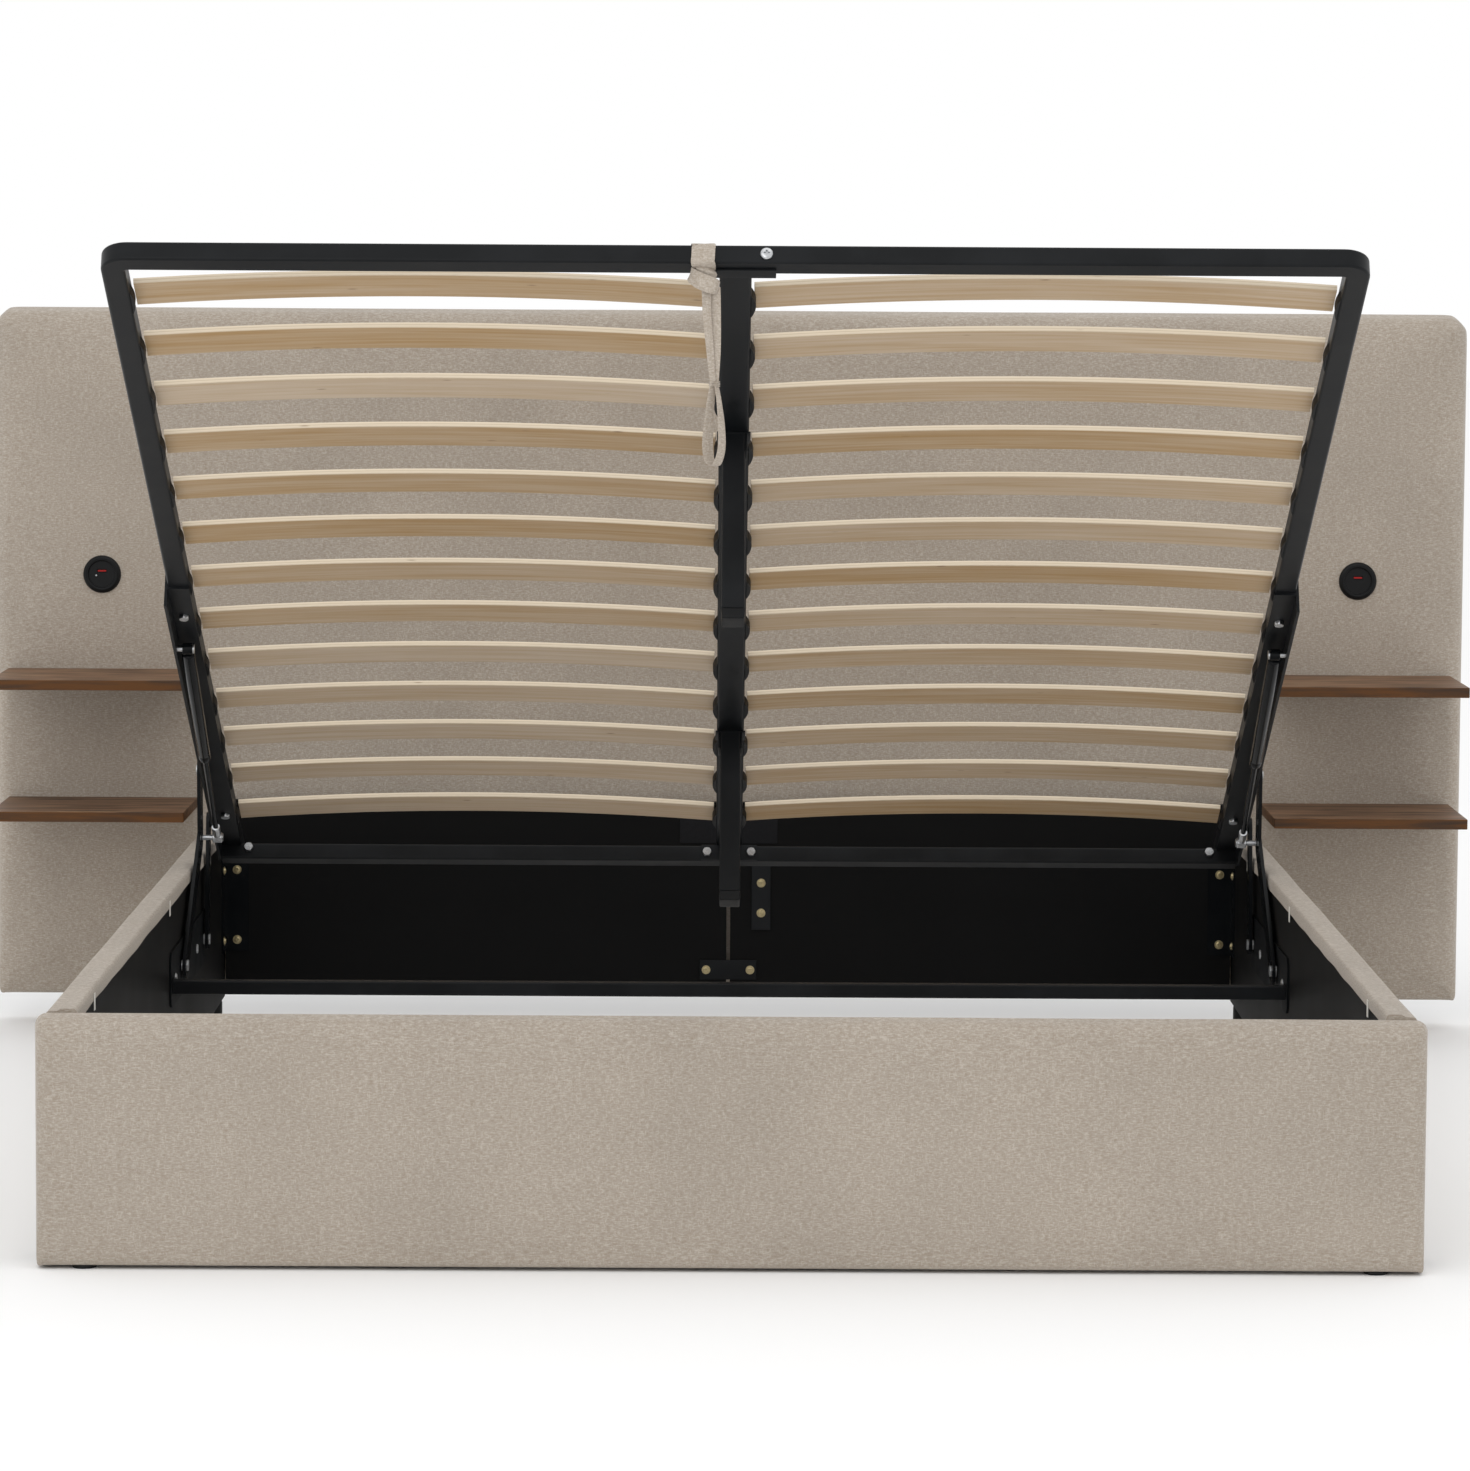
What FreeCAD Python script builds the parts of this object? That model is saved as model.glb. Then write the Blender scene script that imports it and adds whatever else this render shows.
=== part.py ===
import FreeCAD, Part
import Sketcher
import math
import os
import re

# Ottoman bed: upholstered base, wide headboard with shelves, and a slatted lift frame standing open.
# X runs across the bed, Y from the foot end to the head end, Z up, in millimetres.
# The origin is on the floor, under the middle of the bed's box.

SIZES = (
    # Footboard and side rails
    ("bed_width", 1700), ("rail_top", 312), ("foot_thick", 45), ("foot_round", 16), ("glide_height", 4),
    ("glide_radius", 15), ("glide_inset", 60), ("board_margin", 4), ("board_thick", 18),
    ("rail_inset", 10), ("rail_thick", 40), ("rail_floor_gap", 45), ("rail_top_pad", 10),
    ("rail_round_out", 6), ("rail_round_in", 4), ("hem_thick", 3), ("hem_drop", 14),
    ("rail_foot_radius", 18), ("rail_foot_inset", 60),
    ("clip_wide", 12), ("clip_tall", 22), ("clip_thick", 1),
    # Headboard, its shelves and its charger discs
    ("base_length", 2100), ("head_width", 2340), ("head_top", 1140), ("head_floor_gap", 48),
    ("head_thick", 75), ("head_board_thick", 30), ("head_round", 25),
    ("shelf_deep", 230), ("shelf_thick", 16), ("shelf_inset", 24), ("shelf_rail_gap", 6),
    ("shelf_low", 363), ("shelf_high", 568), ("shelf_round", 1.5),
    ("charger_up", 718), ("charger_radius", 30), ("charger_proud", 6), ("charger_bevel", 2.5),
    ("insert_radius", 21), ("insert_proud", 3), ("port_wide", 15), ("port_tall", 6), ("port_rise", 5.5),
    ("port_floor", 0.5), ("port_margin", 1), ("tongue_tall", 2.4),
    # Head-end panel with its plates and corner angles, from the panel's foot up
    ("panel_thick", 18), ("panel_top", 361), ("panel_low", 70), ("panel_seam", 6), ("plate_thick", 3),
    ("join_rise", 8), ("join_wide", 90), ("join_tall", 31), ("join_bolt_across", 35),
    ("strap_rise", 49), ("strap_across", 52), ("strap_wide", 30), ("strap_tall", 102),
    ("strap_bolt_inset", 27),
    ("tab_rise", 36), ("tab_wide", 155), ("tab_tall", 39), ("tab_thick", 2),
    ("corner_leg", 40), ("corner_tall", 148), ("corner_hem_gap", 30), ("corner_bolt_inset", 18),
    # Linkage on the side rails: base brackets, cross-bar and pivots, measured from the headboard's face
    ("bracket_up", 190), ("bracket_tall", 80), ("bracket_round", 18), ("bracket_foot_margin", 35),
    ("bracket_head_margin", 44), ("crossbar_back", 860), ("crossbar_drop", 12), ("crossbar_wide", 20),
    ("arm_base_back", 741), ("arm_base_rise", 3), ("arm_wide", 40), ("arm_thick", 5), ("arm_bracket_gap", 3),
    ("link_base_back", 394), ("link_base_drop", 3), ("link_wide", 30),
    ("pin_radius", 5), ("pin_head_radius", 8), ("pin_head_thick", 2), ("running_gap", 0.05),
    ("side_gap", 0.3),
    # Lift frame, measured along from its head end and up from its tubes' underside
    ("foot_clear", 35), ("head_clear", 37), ("tube_wide", 30), ("tube_tall", 25), ("tube_wall", 1.5),
    ("bend_round", 34), ("beam_wide", 40), ("head_tube_wide", 25), ("head_tube_set", 34),
    ("open_angle", 28.46), ("head_end_back", 205), ("head_end_up", 291),
    ("lift_arm_gap", 4), ("lift_iron_start", 60), ("lift_iron_margin", 163), ("lift_iron_thick", 4),
    ("lift_bolt_along", 182), ("lift_bolt_inset", 92), ("beam_tab_left", 24), ("beam_tab_right", 50),
    ("beam_tab_long", 20), ("head_plate_wide", 86), ("head_nut_across", 34),
    ("foot_screw_across", 38), ("foot_screw_radius", 8), ("foot_screw_tall", 3.5),
    ("slat_count", 13), ("slat_foot_inset", 119), ("slat_head_inset", 154), ("slat_wide", 58),
    ("slat_thick", 8), ("slat_bow", 14), ("slat_rest", 14), ("slat_end_gap", 4),
    ("holder_reach", 6), ("holder_tall", 13),
    ("leg_foot_inset", 481), ("leg_head_inset", 495), ("leg_length", 268), ("leg_wide", 30),
    ("leg_plate_wide", 44), ("leg_ear_tall", 28), ("leg_cap_tall", 15), ("leg_cap_wide", 31),
    # Pivots on the lift frame and the gas struts
    ("arm_joint_along", 346), ("arm_joint_up", 1), ("link_joint_along", 178), ("link_joint_drop", 14),
    ("strut_top_along", 842), ("strut_top_drop", 22), ("strut_foot_along", 292), ("strut_foot_drop", 86),
    ("strut_radius", 9), ("strut_length", 315), ("strut_bore_length", 220), ("rod_radius", 4),
    ("rod_hidden", 60), ("eye_radius", 8), ("eye_wide", 14), ("stud_radius", 4), ("stud_head_radius", 6.5),
    ("open_pivot_gap", 0.5),
    # Fasteners and the fabric pull strap
    ("hex_radius", 7.5), ("hex_tall", 5), ("screw_radius", 5), ("screw_tall", 2.5),
    ("pull_beam_gap", 2), ("pull_wide", 28), ("pull_thick", 2), ("pull_gap", 0.4), ("pull_hang", 255),
    ("overrun", 5),
)
NAMES = {name for name, value in SIZES}

# Places along a rail, as shares of its length
CLIP_SHARES = (0.09, 0.555, 0.86)

ORIGIN = FreeCAD.Vector(0, 0, 0)
ALONG_X = FreeCAD.Vector(1, 0, 0)
ALONG_Y = FreeCAD.Vector(0, 1, 0)
ALONG_Z = FreeCAD.Vector(0, 0, 1)
TURN_TO_AXIS = {"x": (ALONG_Y, 90), "y": (ALONG_X, -90), "z": (ALONG_Z, 0)}

# Derived places, written in the sizes' names
FRONT = "(-(base_length + head_thick) / 2)"
FOOT_BACK = "(%s + foot_thick)" % FRONT
HEAD_FACE = "(%s + base_length)" % FRONT
HEAD_BACK = "(%s + head_thick)" % HEAD_FACE
PANEL_FACE = "(%s - panel_thick)" % HEAD_FACE
RAIL_OUT = "(bed_width / 2 - rail_inset)"
RAIL_IN = "(%s - rail_thick)" % RAIL_OUT
RAIL_BOARD_IN = "(%s + hem_thick)" % RAIL_IN
BRACKET_IN = "(%s - plate_thick)" % RAIL_BOARD_IN
ARM_OUT = "(%s - arm_bracket_gap)" % BRACKET_IN
ARM_IN = "(%s - arm_thick)" % ARM_OUT
LIFT_OUT = "(%s - lift_arm_gap)" % ARM_IN
TUBE_OUT = "(%s - lift_iron_thick)" % LIFT_OUT
TUBE_IN = "(%s - tube_wide)" % TUBE_OUT
STRUT_LINE = "(%s - tube_wide / 2)" % TUBE_OUT
HEM_LOW = "(rail_top - hem_drop)"
JOIN_LOW = "(panel_low + join_rise)"
STRAP_LOW = "(%s + join_tall + strap_rise)" % JOIN_LOW
TAB_LOW = "(%s + strap_tall + tab_rise)" % STRAP_LOW
SHELF_END = "(head_width / 2 - shelf_inset)"
SHELF_WIDE = "(%s - %s - shelf_rail_gap)" % (SHELF_END, RAIL_OUT)
SHELF_MIDDLE = "(%s - %s / 2)" % (SHELF_END, SHELF_WIDE)
ARM_BASE = ("(%s - arm_base_back)" % HEAD_FACE, "(bracket_up + arm_base_rise)")
LINK_BASE = ("(%s - link_base_back)" % HEAD_FACE, "(bracket_up - link_base_drop)")
CROSSBAR = ("(%s - crossbar_back)" % HEAD_FACE, "(bracket_up - crossbar_drop)")
FRAME_LENGTH = "(base_length - foot_thick - panel_thick - foot_clear - head_clear)"
LIFT_IRON_END = "(strut_top_along + lift_iron_margin)"
HEAD_TUBE_FACE = "(-head_tube_set - head_tube_wide)"
SLAT_PITCH = "((%s - slat_foot_inset - slat_head_inset) / (slat_count - 1))" % FRAME_LENGTH

doc = FreeCAD.newDocument("ottoman_bed")
sheet = doc.addObject("Spreadsheet::Sheet", "Sizes")
nodes = {}


def fill_sheet():
    """One row per size: its name, and its value under that name"""
    for row, (name, value) in enumerate(SIZES, start=1):
        sheet.set("A%d" % row, name)
        sheet.set("B%d" % row, str(value))
        sheet.setAlias("B%d" % row, name)
    doc.recompute()


def read(name):
    """Value of a size, for shapes that are worked out point by point"""
    return float(sheet.get(name))


def bound(text):
    """Expression with each size's name turned into its cell"""
    return re.sub(r"[a-z]\w*", lambda m: "Sizes." + m.group() if m.group() in NAMES else m.group(), text)


def place(item, x="0", y="0", z="0"):
    """Ties an object's position to the sizes"""
    for axis, text in zip("xyz", (x, y, z)):
        item.setExpression("Placement.Base." + axis, bound(text))
    return item


def box(name, *spans):
    """Block between low and high limits on X, Y and Z"""
    item = doc.addObject("Part::Box", name)
    for side, (low, high) in zip(("Length", "Width", "Height"), spans):
        item.setExpression(side, bound("(%s) - (%s)" % (high, low)))
    return place(item, *(low for low, high in spans))


def bar(name, radius, axis, span, *centre):
    """Round bar along an axis between two limits, at a centre on the other two axes"""
    item = doc.addObject("Part::Cylinder", name)
    item.setExpression("Radius", bound(radius))
    return lay_along(item, axis, span, centre)


def hexagon(name, radius, axis, span, *centre):
    """Hexagon head or nut along an axis"""
    item = doc.addObject("Part::Prism", name)
    item.Polygon = 6
    item.setExpression("Circumradius", bound(radius))
    return lay_along(item, axis, span, centre)


def lay_along(item, axis, span, centre):
    """Turns a bar to its axis, with its length and place tied to the sizes"""
    item.setExpression("Height", bound("(%s) - (%s)" % (span[1], span[0])))
    item.Placement = FreeCAD.Placement(ORIGIN, FreeCAD.Rotation(*TURN_TO_AXIS[axis]))
    others = iter(centre)
    return place(item, *(span[0] if letter == axis else next(others) for letter in "xyz"))


def cut(name, base, tool):
    item = doc.addObject("Part::Cut", name)
    item.Base = base
    item.Tool = tool
    return item


def fuse(name, items):
    item = doc.addObject("Part::MultiFuse", name)
    item.Shapes = items
    item.Refine = True
    return item


def group(name, items):
    item = doc.addObject("Part::Compound", name)
    item.Links = items
    return item


def feature(name, shape):
    """Object for a shape that is worked out from points"""
    item = doc.addObject("Part::Feature", name)
    item.Shape = shape
    return item


def keep(label, item):
    """Makes an object a piece of the bed under its own label"""
    item.Label = label
    nodes[label] = item
    return item


def mirror(label, source):
    """Keeps the same piece on the other side of the bed"""
    item = doc.addObject("Part::Mirroring", label)
    item.Source = source
    item.Normal = ALONG_X
    return keep(label, item)


def pair(label, item):
    """Keeps a right-hand piece and its mirrored left-hand piece"""
    mirror(label + "_left", keep(label + "_right", item))


def both_sides(name, items):
    """One object from right-hand solids and their mirror images"""
    right = group(name + "_near", items)
    left = doc.addObject("Part::Mirroring", name + "_far")
    left.Source = right
    left.Normal = ALONG_X
    return group(name, [right, left])


def raise_with_frame(item):
    """Carries a piece that was drawn flat to the lift frame's open position"""
    posed = group(item.Name + "_raised", [item])
    posed.Placement = FreeCAD.Placement(ORIGIN, FreeCAD.Rotation(ALONG_X, -read("open_angle")))
    posed.setExpression("Placement.Rotation.Angle", bound("-open_angle"))
    return place(posed, "0", HEAD_FACE + " - head_end_back", "head_end_up")


def plane(body, role):
    """One of a body's own origin planes or axes"""
    return next(item for item in body.Origin.OriginFeatures if item.Role == role)


def sketch_on(body, name, role):
    sketch = body.newObject("Sketcher::SketchObject", name)
    sketch.AttachmentSupport = [(plane(body, role), "")]
    sketch.MapMode = "FlatFace"
    return sketch


def tie(sketch, name, constraint, text):
    """Adds a driving dimension that follows the sizes"""
    sketch.renameConstraint(sketch.addConstraint(constraint), name)
    sketch.setExpression("Constraints." + name, bound(text))


def add_rectangle(sketch, prefix, width, height):
    """Rectangle centred on the sketch's origin"""
    first = sketch.GeometryCount
    corners = [FreeCAD.Vector(x, y, 0) for x, y in ((-1, -1), (1, -1), (1, 1), (-1, 1))]
    for start, end in zip(corners, corners[1:] + corners[:1]):
        sketch.addGeometry(Part.LineSegment(start, end), False)
    for step in range(4):
        sketch.addConstraint(Sketcher.Constraint("Coincident", first + step, 2, first + (step + 1) % 4, 1))
        kind = "Vertical" if step % 2 else "Horizontal"
        sketch.addConstraint(Sketcher.Constraint(kind, first + step))
    sketch.addConstraint(Sketcher.Constraint("Symmetric", first, 1, first + 2, 1, -1, 1))
    tie(sketch, prefix + "width", Sketcher.Constraint("DistanceX", first, 1, first, 2, 2), width)
    tie(sketch, prefix + "height", Sketcher.Constraint("DistanceY", first + 1, 1, first + 1, 2, 2), height)


def pad_both_ways(body, sketch, length):
    pad = body.newObject("PartDesign::Pad", body.Name + "_pad")
    pad.Profile = sketch
    pad.SideType = "Symmetric"
    pad.setExpression("Length", bound(length))
    doc.recompute()
    return pad


def block_body(name, role, width, height, length):
    """Body of a centred rectangle padded both ways from its plane"""
    body = doc.addObject("PartDesign::Body", name)
    sketch = sketch_on(body, name + "_outline", role)
    add_rectangle(sketch, "outer_", width, height)
    return body, pad_both_ways(body, sketch, length)


def tube_body(name, role, width, height, length):
    """Square or oblong steel tube, centred on its own origin"""
    body = doc.addObject("PartDesign::Body", name)
    sketch = sketch_on(body, name + "_section", role)
    add_rectangle(sketch, "outer_", width, height)
    add_rectangle(sketch, "inner_", "%s - 2 * tube_wall" % width, "%s - 2 * tube_wall" % height)
    pad_both_ways(body, sketch, length)
    return body


def round_edges(body, base, name, radius, chosen=None):
    """Rounds all edges of a feature, or those that a test picks"""
    fillet = body.newObject("PartDesign::Fillet", body.Name + name)
    picked = [] if chosen is None else [
        "Edge%d" % number for number, edge in enumerate(base.Shape.Edges, start=1) if chosen(edge)]
    fillet.Base = (base, picked)
    fillet.UseAllEdges = chosen is None
    fillet.setExpression("Radius", bound(radius))
    doc.recompute()
    return fillet


def close(first, second):
    return abs(first - second) < read("running_gap")


def along_axis(edge, letter):
    """True for a straight edge that runs along one axis"""
    span = edge.Vertexes[-1].Point - edge.Vertexes[0].Point
    return edge.Curve.TypeId == "Part::GeomLine" and close(abs(getattr(span, letter)), span.Length)


def make_footboard():
    """Padded footboard: a soft cover with round edges over a board that shows at the back"""
    inset = "(foot_round + board_margin)"
    board = box(
        "footboard_board",
        ("-bed_width / 2 + " + inset, "bed_width / 2 - " + inset),
        (FOOT_BACK + " - board_thick", FOOT_BACK),
        ("glide_height + " + inset, "rail_top - " + inset))
    keep("footboard_core", board)
    body, pad = block_body("footboard_pad", "XZ_Plane", "bed_width", "rail_top - glide_height", "foot_thick")
    round_edges(body, pad, "_round", "foot_round")
    place(body, "0", "(%s + %s) / 2" % (FRONT, FOOT_BACK), "(rail_top + glide_height) / 2")
    keep("footboard_cover", cut("footboard_skin", body, board))


def make_side_rails():
    """Side rails: a dark board inside, padded outside and over the top, with a hem down the inner face"""
    along = (FOOT_BACK, HEAD_FACE)
    board = box(
        "rail_board", (RAIL_BOARD_IN, RAIL_BOARD_IN + " + board_thick"), along,
        ("rail_floor_gap", "rail_top - rail_top_pad"))
    body, pad = block_body(
        "rail_pad", "XZ_Plane", "rail_thick", "rail_top - rail_floor_gap", "base_length - foot_thick")
    top = pad.Shape.BoundBox.ZMax

    def top_edge(edge):
        return along_axis(edge, "y") and close(edge.CenterOfMass.z, top)

    rounded = round_edges(
        body, pad, "_round_out", "rail_round_out", lambda edge: top_edge(edge) and edge.CenterOfMass.x > 0)
    round_edges(
        body, rounded, "_round_in", "rail_round_in", lambda edge: top_edge(edge) and edge.CenterOfMass.x < 0)
    middle = "(%s + %s) / 2" % (RAIL_IN, RAIL_OUT)
    place(body, middle, "(%s + %s) / 2" % along, "(rail_top + rail_floor_gap) / 2")
    below_hem = box(
        "rail_below_hem", (RAIL_IN + " - overrun", RAIL_BOARD_IN),
        (FOOT_BACK + " - overrun", HEAD_FACE + " + overrun"), ("0", HEM_LOW))
    pair("side_rail_core", board)
    pair("side_rail_cover", cut("rail_skin", body, fuse("rail_hollow", [board, below_hem])))


def make_headboard():
    """Wide padded headboard: a soft cover with round edges over a board that shows at the back"""
    inset = "(head_round + board_margin)"
    board = box(
        "headboard_board",
        ("-head_width / 2 + " + inset, "head_width / 2 - " + inset),
        (HEAD_BACK + " - head_board_thick", HEAD_BACK),
        ("head_floor_gap + " + inset, "head_top - " + inset))
    keep("headboard_core", board)
    body, pad = block_body(
        "headboard_pad", "XZ_Plane", "head_width", "head_top - head_floor_gap", "head_thick")
    round_edges(body, pad, "_round", "head_round")
    place(body, "0", "(%s + %s) / 2" % (HEAD_FACE, HEAD_BACK), "(head_top + head_floor_gap) / 2")
    keep("headboard_cover", cut("headboard_skin", body, board))


def make_shelves():
    """Two shelves on each side of the headboard, one above the other"""
    for level in ("shelf_low", "shelf_high"):
        body, pad = block_body(level + "_board", "XY_Plane", SHELF_WIDE, "shelf_deep", "shelf_thick")
        round_edges(body, pad, "_round", "shelf_round")
        place(body, SHELF_MIDDLE, HEAD_FACE + " - shelf_deep / 2", level + " - shelf_thick / 2")
        pair(level, body)


def make_chargers():
    """Round charger discs on the headboard: a bevelled ring, an insert with a port, and the port's tongue"""
    ring = doc.addObject("Part::Cone", "charger_ring")
    ring.setExpression("Radius1", bound("charger_radius"))
    ring.setExpression("Radius2", bound("charger_radius - charger_bevel"))
    ring.setExpression("Height", bound("charger_proud"))
    ring.Placement = FreeCAD.Placement(ORIGIN, FreeCAD.Rotation(ALONG_X, 90))
    place(ring, SHELF_MIDDLE, HEAD_FACE, "charger_up")
    middle = (SHELF_MIDDLE, "charger_up")
    through = (HEAD_FACE + " - charger_proud - overrun", HEAD_FACE + " + overrun")
    well = bar("charger_well", "insert_radius + running_gap", "y", through, *middle)
    pair("charger_bezel", cut("charger_rim", ring, well))
    face = HEAD_FACE + " - insert_proud"
    floor = HEAD_FACE + " - port_floor"
    disc = bar("charger_disc", "insert_radius", "y", (face, HEAD_FACE), *middle)
    half = "port_wide / 2"
    level = "charger_up + port_rise"
    port = box(
        "charger_port",
        ("%s - %s" % (SHELF_MIDDLE, half), "%s + %s" % (SHELF_MIDDLE, half)),
        (face + " - overrun", floor),
        (level + " - port_tall / 2", level + " + port_tall / 2"))
    pair("charger_insert", cut("charger_face", disc, port))
    tongue = box(
        "charger_tongue",
        ("%s - %s + port_margin" % (SHELF_MIDDLE, half), "%s + %s - port_margin" % (SHELF_MIDDLE, half)),
        (face, floor),
        (level + " - tongue_tall / 2", level + " + tongue_tall / 2"))
    keep("charger_tongues", both_sides("charger_tongue_pair", [tongue]))


def make_head_panel():
    """Dark two-piece panel across the head end, with the plates and angles that hold it"""
    half = box("panel_half", ("panel_seam / 2", RAIL_IN), (PANEL_FACE, HEAD_FACE), ("panel_low", "panel_top"))
    pair("head_panel", half)
    on_face = (PANEL_FACE + " - plate_thick", PANEL_FACE)
    keep("head_joining_plate", box(
        "panel_join", ("-join_wide / 2", "join_wide / 2"), on_face, (JOIN_LOW, JOIN_LOW + " + join_tall")))
    keep("head_strap_bracket", box(
        "panel_strap", ("strap_across - strap_wide / 2", "strap_across + strap_wide / 2"), on_face,
        (STRAP_LOW, STRAP_LOW + " + strap_tall")))
    keep("head_panel_pad", box(
        "panel_tab", ("-tab_wide / 2", "tab_wide / 2"), (PANEL_FACE + " - tab_thick", PANEL_FACE),
        (TAB_LOW, TAB_LOW + " + tab_tall")))
    top = HEM_LOW + " - corner_hem_gap"
    height = (top + " - corner_tall", top)
    off_panel = (PANEL_FACE + " - corner_leg", PANEL_FACE)
    on_rail = box("corner_rail", (BRACKET_IN, RAIL_BOARD_IN), off_panel, height)
    on_panel = box("corner_panel", (RAIL_BOARD_IN + " - corner_leg", RAIL_BOARD_IN), on_face, height)
    pair("corner_angle", fuse("corner_both", [on_rail, on_panel]))


def make_panel_bolts():
    """Zinc bolts on the head panel's plates and on the corner angles"""
    head = (PANEL_FACE + " - plate_thick - screw_tall", PANEL_FACE + " - plate_thick")
    top = HEM_LOW + " - corner_hem_gap"
    corners = []
    for level in (top + " - corner_tall + corner_bolt_inset", top + " - corner_bolt_inset"):
        on_panel = RAIL_BOARD_IN + " - (corner_leg + plate_thick) / 2"
        corners.append(bar("corner_panel_bolt", "screw_radius", "y", head, on_panel, level))
        on_rail = PANEL_FACE + " - (corner_leg + plate_thick) / 2"
        reach = (BRACKET_IN + " - screw_tall", BRACKET_IN)
        corners.append(bar("corner_rail_bolt", "screw_radius", "x", reach, on_rail, level))
    join_level = JOIN_LOW + " + join_tall / 2"
    join = bar("join_bolt", "screw_radius", "y", head, "join_bolt_across", join_level)
    joins = both_sides("join_bolts", [join])
    straps = [bar("strap_bolt", "screw_radius", "y", head, "strap_across", STRAP_LOW + inset) for inset in (
        " + strap_bolt_inset", " + strap_tall - strap_bolt_inset")]
    keep("panel_bolts", group("panel_bolt_set", [both_sides("corner_bolts", corners), joins] + straps))


def make_base_brackets():
    """Linkage plates on the rails' boards, their cross-bar and their flat bolt heads"""
    foot_end = "(%s - bracket_foot_margin)" % CROSSBAR[0]
    head_end = "(%s + bracket_head_margin)" % LINK_BASE[0]
    body, pad = block_body(
        "bracket_plate", "YZ_Plane", "%s - %s" % (head_end, foot_end), "bracket_tall", "plate_thick")
    round_edges(body, pad, "_round", "bracket_round", lambda edge: along_axis(edge, "x"))
    place(body, BRACKET_IN + " + plate_thick / 2", "(%s + %s) / 2" % (head_end, foot_end), "bracket_up")
    through = (BRACKET_IN + " - overrun", RAIL_BOARD_IN + " + overrun")
    holes = [
        bar("bracket_hole", "pin_radius + running_gap", "x", through, *at) for at in (ARM_BASE, LINK_BASE)]
    pair("base_bracket", cut("bracket_drilled", body, fuse("bracket_holes", holes)))
    crossbar = tube_body("crossbar_tube", "YZ_Plane", "crossbar_wide", "crossbar_wide", "2 * " + BRACKET_IN)
    keep("base_crossbar", place(crossbar, "0", *CROSSBAR))
    head = (BRACKET_IN + " - arm_bracket_gap + open_pivot_gap", BRACKET_IN)
    beside = "%s + crossbar_wide / 2 + 2 * hex_radius" % CROSSBAR[0]
    spots = (
        (beside, CROSSBAR[1] + " - hex_radius"),
        (beside, CROSSBAR[1] + " + 2 * hex_radius"),
        ("(%s + 2 * %s) / 3" % (ARM_BASE[0], LINK_BASE[0]), LINK_BASE[1]))
    bolts = [hexagon("bracket_bolt", "hex_radius", "x", head, *spot) for spot in spots]
    keep("bracket_bolts", both_sides("bracket_bolt_set", bolts))


def make_base_pins():
    """Pivot pins of the arms and links, fixed in the base brackets, each with a spacer and a head"""
    head_out = ARM_IN + " - side_gap"
    pins = [fuse("base_pin", [
        bar("base_pin_shank", "pin_radius", "x", (head_out, RAIL_BOARD_IN), *at),
        bar("base_pin_spacer", "pin_head_radius", "x", (ARM_OUT + " + side_gap", BRACKET_IN), *at),
        bar("base_pin_head", "pin_head_radius", "x", (head_out + " - pin_head_thick", head_out), *at),
    ]) for at in (ARM_BASE, LINK_BASE)]
    keep("base_pivot_pins", both_sides("base_pin_set", pins))


def make_feet():
    """Round feet under the rails and flat glides under the footboard"""
    middle = "(%s + %s) / 2" % (RAIL_IN, RAIL_OUT)
    feet = [bar("rail_foot", "rail_foot_radius", "z", ("0", "rail_floor_gap"), middle, y) for y in (
        FOOT_BACK + " + rail_foot_inset", HEAD_FACE + " - rail_foot_inset")]
    keep("rail_feet", both_sides("rail_foot_set", feet))
    glide = bar(
        "foot_glide", "glide_radius", "z", ("0", "glide_height"), "bed_width / 2 - glide_inset",
        FRONT + " + foot_thick / 2")
    keep("foot_glides", both_sides("foot_glide_set", [glide]))


def make_hem_clips():
    """Small pale plastic clips that hold the rails' hems"""
    clips = []
    for share in CLIP_SHARES:
        middle = "(%s + %s * (base_length - foot_thick))" % (FOOT_BACK, share)
        clips.append(box(
            "hem_clip", (RAIL_IN + " - clip_thick", RAIL_IN),
            (middle + " - clip_wide / 2", middle + " + clip_wide / 2"),
            (HEM_LOW + " - clip_tall / 2", HEM_LOW + " + clip_tall / 2")))
    keep("hem_clips", both_sides("hem_clip_set", clips))


def tube_out():
    """X of the side tubes' outer faces"""
    out = read("bed_width") / 2 - read("rail_inset") - read("rail_thick") + read("hem_thick")
    out -= read("plate_thick") + read("arm_bracket_gap") + read("arm_thick")
    return out - read("lift_arm_gap") - read("lift_iron_thick")


def frame_length():
    """Length of the lift frame, which leaves room at both ends of the closed base"""
    ends = read("foot_thick") + read("panel_thick") + read("foot_clear") + read("head_clear")
    return read("base_length") - ends


def bent_bar_face(half, front, back, width, radius):
    """Flat face of a bar that crosses at the front and turns back at both sides with round corners"""
    lean = math.sqrt(0.5)

    def run(reach, near, bend):
        centre = FreeCAD.Vector(reach - bend, near + bend, 0)
        turn = [centre + step * bend for step in (ALONG_X, (ALONG_X - ALONG_Y) * lean, -ALONG_Y)]
        points = [FreeCAD.Vector(reach, back, 0)] + turn
        return points, [FreeCAD.Vector(-p.x, p.y, 0) for p in reversed(points)]

    def edges(points, others):
        return [
            Part.LineSegment(points[0], points[1]).toShape(),
            Part.Arc(points[1], points[2], points[3]).toShape(),
            Part.LineSegment(points[3], others[0]).toShape(),
            Part.Arc(others[0], others[1], others[2]).toShape(),
            Part.LineSegment(others[2], others[3]).toShape()]

    outer, outer_far = run(half, front, radius)
    inner, inner_far = run(half - width, front + width, radius - width)
    ends = [
        Part.LineSegment(outer_far[3], inner_far[3]).toShape(),
        Part.LineSegment(inner[0], outer[0]).toShape()]
    loop = edges(outer, outer_far) + ends + edges(inner, inner_far)
    return Part.Face(Part.Wire(Part.__sortEdges__(loop)))


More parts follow.
